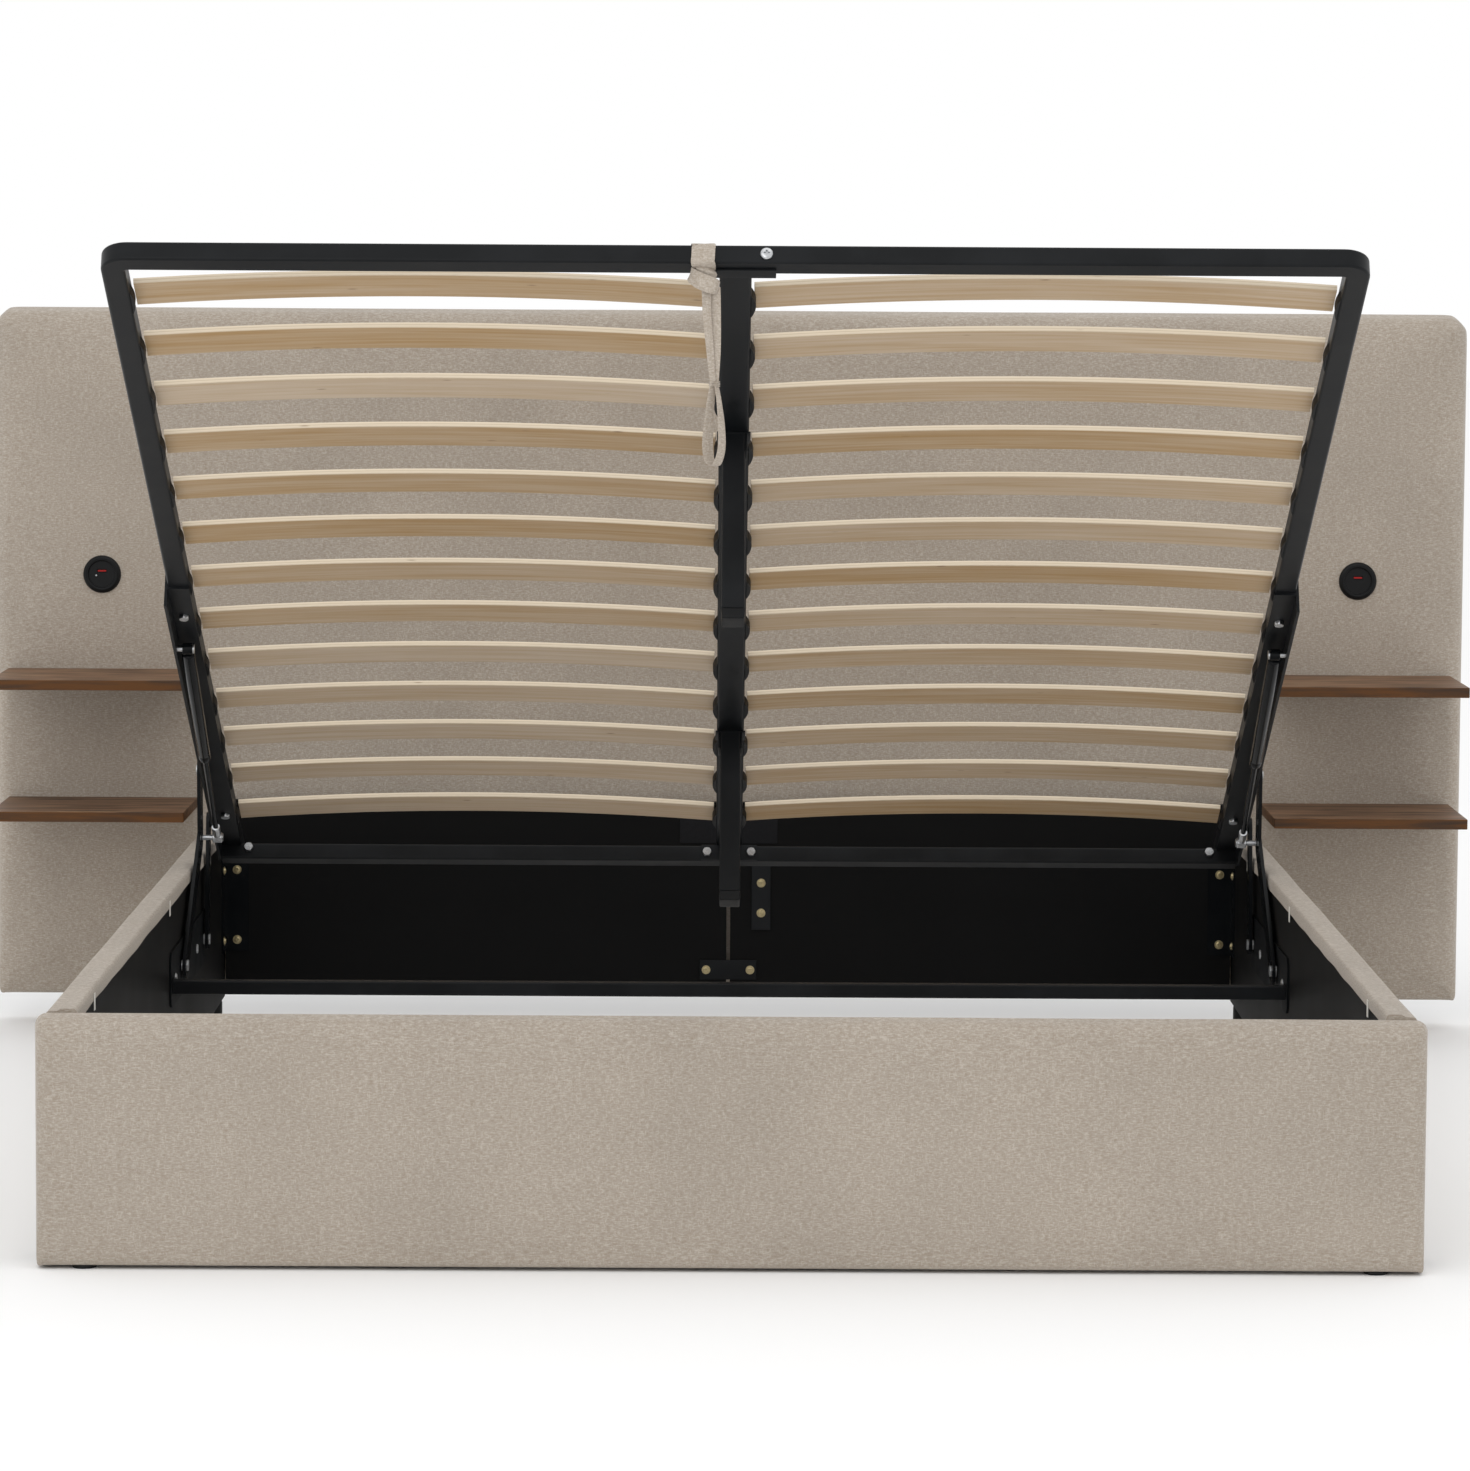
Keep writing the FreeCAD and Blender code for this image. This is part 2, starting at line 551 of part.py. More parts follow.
def make_foot_tube():
    """Foot tube of the lift frame: one tube bent round at both corners, up to the side tubes' ends"""
    half, front, wall = tube_out(), -frame_length(), read("tube_wall")
    wide, tall, radius = read("tube_wide"), read("tube_tall"), read("bend_round")
    back = front + radius + 2 * wall
    skin = bent_bar_face(half, front, back, wide, radius).extrude(ALONG_Z * tall)
    hollow = bent_bar_face(half - wall, front + wall, back, wide - 2 * wall, radius - wall)
    hollow = hollow.extrude(ALONG_Z * (tall - 2 * wall))
    hollow.translate(ALONG_Z * wall)
    keep("foot_tube", raise_with_frame(feature("foot_tube_bent", skin.cut(hollow))))


def make_frame_tubes():
    """Straight tubes of the lift frame; the side tubes and the beam lie on the head tube"""
    level = "tube_tall / 2"
    side_length = "(%s - bend_round - 2 * tube_wall)" % FRAME_LENGTH
    side = tube_body("side_tube_flat", "XZ_Plane", "tube_wide", "tube_tall", side_length)
    place(side, STRUT_LINE, "-%s / 2" % side_length, level)
    pair("side_tube", raise_with_frame(side))
    head = tube_body("head_tube_flat", "YZ_Plane", "head_tube_wide", "tube_tall", "2 * " + TUBE_OUT)
    place(head, "0", HEAD_TUBE_FACE + " + head_tube_wide / 2", "-" + level)
    keep("head_tube", raise_with_frame(head))
    reach = "(%s - tube_wide - head_tube_set)" % FRAME_LENGTH
    beam = tube_body("beam_flat", "XZ_Plane", "beam_wide", "tube_tall", reach)
    middle = "-(head_tube_set + %s / 2)" % reach
    keep("centre_beam", raise_with_frame(place(beam, "0", middle, level)))


def make_lift_angles():
    """Long steel angles under and beside the side tubes, drilled for the arm and strut pins"""
    along = ("-" + LIFT_IRON_END, "-lift_iron_start")
    drop = "-(strut_top_drop + 2 * stud_radius)"
    upright = box("lift_upright", (TUBE_OUT, LIFT_OUT), along, (drop, "tube_tall"))
    ledge = box("lift_ledge", (TUBE_IN, LIFT_OUT), along, ("-lift_iron_thick", "0"))
    through = (TUBE_OUT + " - overrun", LIFT_OUT + " + overrun")
    holes = [
        bar("lift_arm_hole", "pin_radius + running_gap", "x", through, "-arm_joint_along", "arm_joint_up"),
        bar(
            "lift_strut_hole", "stud_radius + running_gap", "x", through,
            "-strut_top_along", "-strut_top_drop")]
    iron = cut("lift_drilled", fuse("lift_section", [upright, ledge]), fuse("lift_holes", holes))
    pair("lift_angle", raise_with_frame(iron))


def make_lift_pins():
    """Arm pins and strut studs, fixed in the lift angles"""
    at = ("-arm_joint_along", "arm_joint_up")
    arm_end = ARM_OUT + " + side_gap"
    arm_pin = fuse("arm_pin", [
        bar("arm_pin_shank", "pin_radius", "x", (TUBE_OUT, arm_end), *at),
        bar("arm_pin_spacer", "pin_head_radius", "x", (LIFT_OUT, ARM_IN + " - side_gap"), *at),
        bar("arm_pin_head", "pin_head_radius", "x", (arm_end, arm_end + " + pin_head_thick"), *at)])
    at = ("-strut_top_along", "-strut_top_drop")
    eye_in = STRUT_LINE + " - eye_wide / 2 - side_gap"
    stud = fuse("strut_stud", [
        bar("strut_stud_shank", "stud_radius", "x", (eye_in, LIFT_OUT), *at),
        bar("strut_stud_head", "stud_head_radius", "x", (eye_in + " - pin_head_thick", eye_in), *at)])
    keep("lift_pins", raise_with_frame(both_sides("lift_pin_set", [arm_pin, stud])))


def make_frame_plates():
    """Plate under the beam's foot end, and the plate on the head tube's face below the beam"""
    start = "-%s + tube_wide / 2" % FRAME_LENGTH
    keep("beam_tab_plate", raise_with_frame(box(
        "beam_tab", ("-beam_tab_left", "beam_tab_right"), (start, start + " + beam_tab_long"),
        ("-plate_thick", "0"))))
    keep("head_centre_plate", raise_with_frame(box(
        "head_plate", ("-head_plate_wide / 2", "head_plate_wide / 2"),
        (HEAD_TUBE_FACE + " - plate_thick", HEAD_TUBE_FACE), ("-tube_tall", "0"))))


def make_frame_bolts():
    """Bolts under the lift angles and on the head tube, and the screw in the foot tube"""
    under_ledge = ("-lift_iron_thick - hex_tall", "-lift_iron_thick")
    bolts = [hexagon("lift_bolt", "hex_radius", "z", under_ledge, STRUT_LINE, along) for along in (
        "-lift_bolt_along", "-%s + lift_bolt_inset" % LIFT_IRON_END)]
    on_plate = (HEAD_TUBE_FACE + " - plate_thick - hex_tall", HEAD_TUBE_FACE + " - plate_thick")
    bolts.append(hexagon("head_nut", "hex_radius", "y", on_plate, "head_nut_across", "-tube_tall / 2"))
    on_tube = (HEAD_TUBE_FACE + " - hex_tall", HEAD_TUBE_FACE)
    end = TUBE_IN + " - lift_iron_thick - hex_radius"
    bolts.append(hexagon("head_end_bolt", "hex_radius", "y", on_tube, end, "-hex_radius"))
    reach = ("-%s - foot_screw_tall" % FRAME_LENGTH, "-%s" % FRAME_LENGTH)
    screw = bar("foot_screw", "foot_screw_radius", "y", reach, "foot_screw_across", "tube_tall / 2")
    bolt_set = group("frame_bolt_set", [both_sides("frame_bolt_pairs", bolts), screw])
    keep("frame_bolts", raise_with_frame(bolt_set))


def make_slats():
    """Two columns of bowed slats between the side tubes and the beam"""
    reach = "(%s - beam_wide / 2 - 2 * slat_end_gap)" % TUBE_IN
    radius = "((%s / 2) ^ 2 + slat_bow ^ 2) / (2 * slat_bow)" % reach
    bow, thick = read("slat_bow"), read("slat_thick")
    half = (tube_out() - read("tube_wide") - read("beam_wide") / 2) / 2 - read("slat_end_gap")
    curve = (half ** 2 + bow ** 2) / (2 * bow)
    body = doc.addObject("PartDesign::Body", "slat_column")
    sketch = sketch_on(body, "slat_bow_outline", "XZ_Plane")
    for outer in (curve, curve + thick):
        swing = math.asin(half / outer)
        circle = Part.Circle(FreeCAD.Vector(0, bow - curve, 0), ALONG_Z, outer)
        sketch.addGeometry(Part.ArcOfCircle(circle, math.pi / 2 - swing, math.pi / 2 + swing), False)
    for end, side in ((1, half), (2, -half)):
        line = Part.LineSegment(FreeCAD.Vector(side, 0, 0), FreeCAD.Vector(side, thick, 0))
        sketch.addGeometry(line, False)
        sketch.addConstraint(Sketcher.Constraint("Coincident", 0, end, end + 1, 1))
        sketch.addConstraint(Sketcher.Constraint("Coincident", 1, end, end + 1, 2))
        sketch.addConstraint(Sketcher.Constraint("Vertical", end + 1))
    sketch.addConstraint(Sketcher.Constraint("Coincident", 0, 3, 1, 3))
    sketch.addConstraint(Sketcher.Constraint("Symmetric", 0, 1, 0, 2, -2))
    sketch.addConstraint(Sketcher.Constraint("PointOnObject", 0, 1, -1))
    tie(sketch, "reach", Sketcher.Constraint("DistanceX", 0, 2, 0, 1, 2 * half), reach)
    tie(sketch, "bow_radius", Sketcher.Constraint("Radius", 0, curve), radius)
    tie(sketch, "top_radius", Sketcher.Constraint("Radius", 1, curve + thick), radius + " + slat_thick")
    pad = pad_both_ways(body, sketch, "slat_wide")
    row = body.newObject("PartDesign::LinearPattern", "slat_row")
    row.Originals = [pad]
    row.Direction = (plane(body, "Y_Axis"), [""])
    row.setExpression("Length", bound(SLAT_PITCH + " * (slat_count - 1)"))
    row.setExpression("Occurrences", bound("slat_count"))
    body.Tip = row
    place(body, "(%s + beam_wide / 2) / 2" % TUBE_IN, "-%s + slat_foot_inset" % FRAME_LENGTH, "slat_rest")
    pair("slats", raise_with_frame(body))


def make_holders():
    """Plastic holders under the slats' ends, on the beam and on the side tubes, each with an arched front"""
    arch = "(((slat_wide / 2) ^ 2 + holder_reach ^ 2) / (2 * holder_reach))"
    level = ("slat_rest - holder_tall", "slat_rest")
    beam_side = "(beam_wide / 2)"
    seats = {
        "beam_holders": (beam_side, beam_side + " + holder_reach", " + holder_reach - " + arch),
        "side_holders": (TUBE_IN + " - holder_reach", TUBE_IN, " + " + arch)}
    for label, (near, far, to_centre) in seats.items():
        holders = []
        for step in range(int(read("slat_count"))):
            along = "(-%s + slat_foot_inset + %s * %d)" % (FRAME_LENGTH, SLAT_PITCH, step)
            spread = (along + " - slat_wide / 2", along + " + slat_wide / 2")
            block = box("holder_block", (near, far), spread, level)
            holder = doc.addObject("Part::Common", "slat_holder")
            holder.Base = block
            holder.Tool = bar("holder_arch", arch, "z", level, near + to_centre, along)
            holders.append(holder)
        keep(label, raise_with_frame(both_sides(label + "_set", holders)))


def make_centre_legs():
    """Two centre legs below the beam, each a square tube with a plate, two ears and an end cap"""
    spots = {"front": "(leg_foot_inset - %s)" % FRAME_LENGTH, "rear": "(-leg_head_inset)"}
    tube_reach = "(leg_length - leg_cap_tall - plate_thick)"
    caps = []
    for end, along in spots.items():
        tube = tube_body("leg_tube_" + end, "XY_Plane", "leg_wide", "leg_wide", tube_reach)
        place(tube, "0", along, "-plate_thick - %s / 2" % tube_reach)
        spread = (along + " - leg_wide / 2", along + " + leg_wide / 2")
        plate = box("leg_plate", ("-leg_plate_wide / 2", "leg_plate_wide / 2"), spread, ("-plate_thick", "0"))
        beside = ("leg_wide / 2", "leg_wide / 2 + plate_thick")
        ear = box("leg_ear", beside, spread, ("-leg_ear_tall", "-plate_thick"))
        ears = both_sides("leg_ears_" + end, [ear])
        keep("centre_leg_" + end, raise_with_frame(fuse("leg_" + end, [tube, plate, ears])))
        caps.append(box(
            "leg_cap", ("-leg_cap_wide / 2", "leg_cap_wide / 2"),
            (along + " - leg_cap_wide / 2", along + " + leg_cap_wide / 2"),
            ("-leg_length", "-leg_length + leg_cap_tall")))
    keep("leg_caps", raise_with_frame(group("leg_cap_set", caps)))


def head_face():
    """Y of the headboard's face"""
    return (read("base_length") - read("head_thick")) / 2


def on_frame(along, up):
    """Point of the raised lift frame, in the YZ plane"""
    turn = math.radians(read("open_angle"))
    y = head_face() - read("head_end_back") - along * math.cos(turn) + up * math.sin(turn)
    return FreeCAD.Vector(0, y, read("head_end_up") + along * math.sin(turn) + up * math.cos(turn))


def across(point, x):
    """The same point of the YZ plane, moved across the bed"""
    return FreeCAD.Vector(x, point.y, point.z)


def strip(points, width, low, high):
    """Flat steel strip along points of the YZ plane, round at its ends and bends"""
    thick = ALONG_X * (high - low)
    solids = [Part.makeCylinder(width / 2, high - low, across(point, low), ALONG_X) for point in points]
    for start, end in zip(points, points[1:]):
        side = ALONG_X.cross(end - start).normalize() * (width / 2)
        corners = [across(p, low) for p in (start + side, end + side, end - side, start - side, start + side)]
        solids.append(Part.Face(Part.makePolygon(corners)).extrude(thick))
    return solids[0].multiFuse(solids[1:]).removeSplitter()


def arm_limits():
    """Inner and outer X of the arms and links"""
    low = tube_out() + read("lift_iron_thick") + read("lift_arm_gap")
    return low, low + read("arm_thick")


def drilled(plate, point, low, high):
    """A strip with a running hole for a pivot pin"""
    hole = read("pin_radius") + read("running_gap")
    return plate.cut(Part.makeCylinder(hole, high - low, across(point, low), ALONG_X))


def make_arms():
    """Long bent arms from the base brackets, past the struts' feet, to the lift angles"""
    low, high = arm_limits()
    base = FreeCAD.Vector(0, head_face() - read("arm_base_back"), read("bracket_up") + read("arm_base_rise"))
    elbow = on_frame(read("strut_foot_along"), -read("strut_foot_drop"))
    joint = on_frame(read("arm_joint_along"), read("arm_joint_up"))
    arm = strip((base, elbow, joint), read("arm_wide"), low, high)
    for point in (base, joint):
        arm = drilled(arm, point, low, high)
    pair("front_arm", feature("front_arm_strip", arm))


def make_links():
    """Short straight links behind the arms; each carries a boss that faces the lift angle"""
    low, high = arm_limits()
    level = read("bracket_up") - read("link_base_drop")
    base = FreeCAD.Vector(0, head_face() - read("link_base_back"), level)
    joint = on_frame(read("link_joint_along"), -read("link_joint_drop"))
    link = drilled(strip((base, joint), read("link_wide"), low, high), base, low, high)
    boss = read("lift_arm_gap") - read("open_pivot_gap")
    link = link.fuse(Part.makeCylinder(read("pin_head_radius"), boss, across(joint, low - boss), ALONG_X))
    pair("rear_link", feature("rear_link_strip", link.removeSplitter()))


def make_struts():
    """Gas struts: a cylinder hung from the lift angle, and a rod with an eye and a stud by the arm"""
    line = tube_out() - read("tube_wide") / 2
    top = across(on_frame(read("strut_top_along"), -read("strut_top_drop")), line)
    foot = across(on_frame(read("strut_foot_along"), -read("strut_foot_drop")), line)
    way = (foot - top).normalize()
    to_side = ALONG_X * (read("eye_wide") / 2)
    barrel_end = top + way * read("strut_length")
    neck_length = 2 * read("eye_radius")
    barrel_length = read("strut_length") - 0.75 * neck_length
    barrel = Part.makeCylinder(read("strut_radius"), barrel_length, barrel_end, -way)
    eye = Part.makeCylinder(read("eye_radius"), read("eye_wide"), top - to_side, ALONG_X)
    neck = Part.makeCylinder(read("rod_radius"), neck_length, top, way)
    hollow = read("rod_radius") + 2 * read("running_gap")
    bore = Part.makeCylinder(hollow, read("strut_bore_length"), barrel_end, -way)
    stud_hole = read("stud_radius") + read("running_gap")
    stud_bore = Part.makeCylinder(stud_hole, read("eye_wide"), top - to_side, ALONG_X)
    pair("strut_cylinder", feature("strut_barrel", barrel.multiFuse([eye, neck]).cut(bore).cut(stud_bore)))
    reach = (foot - barrel_end).Length + read("rod_hidden")
    rod = Part.makeCylinder(read("rod_radius"), reach, foot, -way)
    eye = Part.makeCylinder(read("eye_radius"), read("eye_wide"), foot - to_side, ALONG_X)
    low, high = arm_limits()
    stud = Part.makeCylinder(read("stud_radius"), low - read("open_pivot_gap") - line, foot, ALONG_X)
    pair("strut_rod", feature("strut_piston", rod.multiFuse([eye, stud])))


def make_pull_strap():
    """Fabric pull strap: a band round the foot tube with a tail that hangs straight down"""
    gap, thick, wide = read("pull_gap"), read("pull_thick"), read("pull_wide")
    low = -(read("beam_tab_left") + read("pull_beam_gap") + wide)
    front = -frame_length()

    def ring(reach):
        corner = FreeCAD.Vector(low, front - reach, -reach)
        return Part.makeBox(wide, read("tube_wide") + 2 * reach, read("tube_tall") + 2 * reach, corner)

    band = ring(gap + thick).cut(ring(gap))
    band.rotate(ORIGIN, ALONG_X, -read("open_angle"))
    band.translate(on_frame(0, 0))
    start = on_frame(frame_length() - read("tube_wide") / 2, -(gap + thick / 2))
    corner = FreeCAD.Vector(low, start.y - thick / 2, start.z - read("pull_hang"))
    tail = Part.makeBox(wide, thick, read("pull_hang"), corner)
    keep("pull_strap", feature("pull_strap_band", band.fuse(tail).removeSplitter()))


def check_and_write():
    """Refuses a failed object or a bad shape, then writes each piece to its own file"""
    doc.recompute()
    for item in doc.Objects:
        if "Invalid" in item.State or "Error" in item.State:
            raise RuntimeError("%s failed" % item.Label)
    for label, item in nodes.items():
        if item.Shape.isNull() or not item.Shape.isValid() or not item.Shape.Solids:
            raise RuntimeError("%s has no sound solid" % label)
    os.makedirs("parts", exist_ok=True)
    for label, item in nodes.items():
        item.Shape.exportStep(os.path.join("parts", label + ".step"))


fill_sheet()
make_footboard()
make_side_rails()
make_headboard()
make_shelves()
make_chargers()
make_head_panel()
make_panel_bolts()
make_base_brackets()
make_base_pins()
make_feet()
make_hem_clips()
make_foot_tube()
make_frame_tubes()
make_lift_angles()
make_lift_pins()
make_frame_plates()
make_frame_bolts()
make_slats()
make_holders()
make_centre_legs()
make_arms()
make_links()
make_struts()
make_pull_strap()
check_and_write()
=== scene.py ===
import functools
import math

import bmesh
import bpy
import numpy as np
from bpy.props import FloatProperty, FloatVectorProperty, PointerProperty
from mathutils import Matrix, Vector


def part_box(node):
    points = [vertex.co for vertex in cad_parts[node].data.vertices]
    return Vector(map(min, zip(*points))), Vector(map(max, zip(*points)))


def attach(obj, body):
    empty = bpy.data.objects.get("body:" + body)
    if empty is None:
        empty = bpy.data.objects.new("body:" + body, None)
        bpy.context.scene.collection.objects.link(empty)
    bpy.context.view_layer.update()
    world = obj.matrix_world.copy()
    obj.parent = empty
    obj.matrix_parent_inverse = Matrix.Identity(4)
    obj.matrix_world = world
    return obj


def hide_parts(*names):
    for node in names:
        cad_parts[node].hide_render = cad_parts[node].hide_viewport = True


bl_info = {
    "name": "Ottoman Bed",
    "version": (1, 0, 0),
    "blender": (4, 5, 0),
    "location": "3D View > Sidebar > Bed",
    "description": "Upholstery, slats, steel and fittings of an ottoman bed, set around its packed model",
    "category": "Add Mesh",
}

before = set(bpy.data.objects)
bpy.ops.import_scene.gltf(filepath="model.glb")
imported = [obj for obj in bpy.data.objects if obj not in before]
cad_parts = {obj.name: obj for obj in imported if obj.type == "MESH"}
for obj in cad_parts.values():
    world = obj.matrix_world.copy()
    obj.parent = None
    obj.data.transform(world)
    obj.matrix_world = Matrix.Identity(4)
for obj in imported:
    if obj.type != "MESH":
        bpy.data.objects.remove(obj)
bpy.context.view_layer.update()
MM = 0.001

# Head end of the raised lift frame's underside, how far the frame stands open, and its length
LIFT_ORIGIN = np.array((0.0, 0.8075, 0.291))
LIFT_ANGLE = math.radians(28.46)
LIFT_COS, LIFT_SIN = math.cos(LIFT_ANGLE), math.sin(LIFT_ANGLE)
LIFT_TURN = np.array(((1, 0, 0), (0, LIFT_COS, -LIFT_SIN), (0, LIFT_SIN, LIFT_COS)))
LIFT_LENGTH = 1965 * MM
FOOT_TUBE_WIDE, FOOT_TUBE_TALL, FOOT_TUBE_BEND = 30 * MM, 25 * MM, 19 * MM

# Places on the flat lift frame, from its head end: slats, centre legs and the struts' two pivots. The first slat lies
# 119 mm from the foot end, and then there is one every 141 mm
SLAT_PLACES = -LIFT_LENGTH + (119 + 141 * np.arange(13)) * MM
SLAT_SEAT, SLAT_INNER_END, SLAT_OUTER_END = 14 * MM, 24 * MM, 750 * MM
LEG_PLACES = (("front", -1484 * MM), ("rear", -495 * MM))
LEG_FOOT, LEG_CAP_FOOT, LEG_PLATE = -253 * MM, -268 * MM, -3 * MM
STRUT_TOP, STRUT_FOOT = (0.0, -842 * MM, -22 * MM), (0.0, -292 * MM, -86 * MM)
STRUT_REACH = 769 * MM

# Cloth pass: pressure, steps, and the least move that counts as one
PRESSURE, PRESSURE_STEPS, LEAST_MOVE = 4.0, 20, 0.1 * MM
RIPPLE_WAVES = 7
# Finished meshes: points nearer than WELD are joined, edges under SLIVER go, and edges sharper than the angle stay so
WELD, SLIVER, SHARP_ANGLE = 2e-6, 1e-6, math.radians(38)
# Settings and output of a colour mix
COLOURS = {"data_type": "RGBA", "out": 2}


def linear(code):
    """Linear colour of an sRGB hex value"""
    share = np.array([int(code[at:at + 2], 16) for at in (1, 3, 5)]) / 255
    return tuple(float(v) for v in np.where(share <= 0.04045, share / 12.92, ((share + 0.055) / 1.055) ** 2.4))


def number(name, description, default, **limits):
    """A number that a user can change"""
    return FloatProperty(name=name, description=description, default=default, **limits)


def length(name, description, default):
    """A length in millimetres that a user can change"""
    return number(name, description, default * MM, min=0.0, unit="LENGTH")


def colour(name, description, code):
    """A colour that a user can change"""
    return FloatVectorProperty(
        name=name, description=description, default=linear(code), size=3, min=0.0, max=1.0, subtype="COLOR")


class BedSizes(bpy.types.PropertyGroup):
    """Sizes of the dressed pieces"""
    foot_edge: length("Footboard edge", "Radius of the footboard's padded edges", 15)
    foot_crown: length("Footboard crown", "How far the footboard's wadding may swell", 3)
    foot_corner: length("Footboard corner", "How far the footboard's upper corners are rounded off", 6)
    foot_hem: length("Footboard hem", "How far the footboard's lower edge is drawn down after the cloth pass", 2.6)
    head_edge: length("Headboard edge", "Radius of the headboard's padded edges", 24)
    head_crown: length("Headboard crown", "How far the headboard's wadding may swell", 5)
    head_corner: length("Headboard corner", "How far the headboard's upper corners are rounded off", 34)
    head_hem: length("Headboard hem", "How far the headboard's lower edge is drawn down after the cloth pass", 7)
    ear_drop: length("Ear", "How far folded cloth stands below the padded boards' lower corners", 1.2)
    rail_crown: length("Rail crown", "How far a side rail's wadding may swell", 3)
    pad_step: length("Pad grid", "Spacing of the points on the padded faces before they are subdivided", 16)
    tube_edge: length("Tube edge", "Outer corner radius of the steel tubes", 3)
    plate_edge: length("Plate edge", "Edge radius of the steel plates", 0.6)
    slat_edge: length("Slat edge", "Edge radius of the slats", 2)
    slat_wide: length("Slat width", "Width of a slat", 58)
    slat_thick: length("Slat thickness", "Thickness of a slat", 8)
    slat_bow: length("Slat bow", "How far a slat's middle stands above its ends", 14)
    strap_thick: length("Strap thickness", "Thickness of the pull strap's folded cloth", 1.8)


class BedColours(bpy.types.PropertyGroup):
    """Colours of the dressed pieces"""
    cloth: colour("Cloth", "Ground colour of the upholstery", "#A59B8F")
    cloth_dark: colour("Cloth fleck, dark", "Brown yarn flecks", "#978A7B")
    cloth_pale: colour("Cloth fleck, pale", "Pale yarn flecks", "#BCB3A8")
    steel: colour("Steel", "Powder coat on the tubes and plates", "#0E1012")
    board: colour("Board", "Dark facing of the boards", "#0D0D0D")
    birch: colour("Birch", "Ground colour of the slats' faces", "#CBBAA5")
    birch_dark: colour("Birch, dark", "Darker veneer of the slats", "#AB8A5C")
    birch_edge: colour("Birch edge", "Sanded edges of the slats", "#DACBB4")
    shelf: colour("Shelf", "Ground colour of the shelves' laminate", "#806047")
    shelf_dark: colour("Shelf, dark", "Dark grain of the shelves' laminate", "#3A2A1E")
    shelf_edge: colour("Shelf edge", "Edge band of the shelves", "#5C3813")
    plastic: colour("Plastic", "Moulded black fittings", "#101112")
    clip: colour("Clip", "Moulded white clips on the hems", "#DEDBD4")
    port: colour("Port", "Tongue inside the charging port", "#A01A18")
    zinc: colour("Zinc", "Bright plated fasteners", "#C4C6C8")
    yellow_zinc: colour("Yellow zinc", "Yellow-passivated fasteners", "#C3B58E")
    felt: colour("Felt", "Pad on the head panel", "#161617")
    floor: colour("Floor", "Studio floor", "#FAFAFA")


class BedStage(bpy.types.PropertyGroup):
    """Camera and light"""
    lens: number("Lens", "Focal length on a 36 mm wide sensor", 135.18, min=1.0, subtype="DISTANCE_CAMERA")
    eye: FloatVectorProperty(
        name="Eye", description="Place of the camera", default=(-0.021, -7.7315, 1.268), subtype="TRANSLATION")
    yaw: number("Yaw", "Turn of the view to the right", math.radians(0.197), subtype="ANGLE")
    pitch: number("Pitch", "How far the view looks down", math.radians(5.237), subtype="ANGLE")
    roll: number("Roll", "Tilt of the view about its own line", math.radians(0.334), subtype="ANGLE")
    sky: number("Sky", "Strength of the even white surround", 1.0, min=0.0)
    key: number("Key", "Power of the large front light", 34.0, min=0.0, subtype="POWER")
    top: number("Top", "Power of the overhead light", 16.0, min=0.0, subtype="POWER")


# Surfaces: a part is its points and its four-cornered cells

def quads(rows, columns):
    """Corner numbers of a grid's cells, with the last column joined to the first"""
    number = np.arange(rows * columns).reshape(rows, columns)
    number = np.concatenate((number, number[:, :1]), axis=1)
    return np.stack((number[:-1, :-1], number[:-1, 1:], number[1:, 1:], number[1:, :-1]), -1).reshape(-1, 4)


def skin(rings):
    """Skin over a stack of closed rings, open at its ends"""
    return rings.reshape(-1, 3), quads(*rings.shape[:2])


def loft(rings):
    """Skin over a stack of closed rings, each end drawn together to the middle of its ring"""
    first, last = (
        np.broadcast_to(end.mean(axis=1, keepdims=True), end.shape) for end in (rings[:1], rings[-1:]))
    return skin(np.concatenate((first, rings, last)))


def carry(profile, path, across, up):
    """A flat profile carried along a path: path point + profile's first part across + its second part up"""
    across, up = np.broadcast_to(across, path.shape), np.broadcast_to(up, path.shape)
    profile = np.broadcast_to(profile, (len(path),) + profile.shape[-2:])
    return path[:, None] + profile[..., :1] * across[:, None] + profile[..., 1:] * up[:, None]


def rounded_outline(wide, tall, radius, steps=5, hold=0.5 * MM):
    """Rectangle with quarter-circle corners: each arc is centre + radius * (cos, sin), and a point beside each
    arc's ends keeps the flat sides flat"""
    turn = np.linspace(0, np.pi / 2, steps)
    turn = np.concatenate((turn[:1], turn, turn[-1:]))
    slide = np.zeros(len(turn))
    slide[[0, -1]] = -hold, hold
    turn = turn + np.arange(4)[:, None] * np.pi / 2
    sides = np.array(((1, 1), (-1, 1), (-1, -1), (1, -1))) * (wide / 2 - radius, tall / 2 - radius)
    out = np.stack((np.cos(turn), np.sin(turn)), -1)
    along = np.stack((-np.sin(turn), np.cos(turn)), -1)
    return (sides[:, None] + radius * out + slide[:, None] * along).reshape(-1, 2)


def stations(low, high, radius, step, bend):
    """Stations along one side of a pad: at radius * (1 - tan) of even angles over its round ends, then even"""
    edge = radius * (1 - np.tan(np.linspace(np.pi / 4, 0, bend)))
    count = max(2, int(round((high - low - 2 * radius) / step)) + 1)
    middle = np.linspace(low + radius, high - radius, count)
    return np.concatenate((low + edge[:-1], middle, (high - edge[:-1])[::-1]))


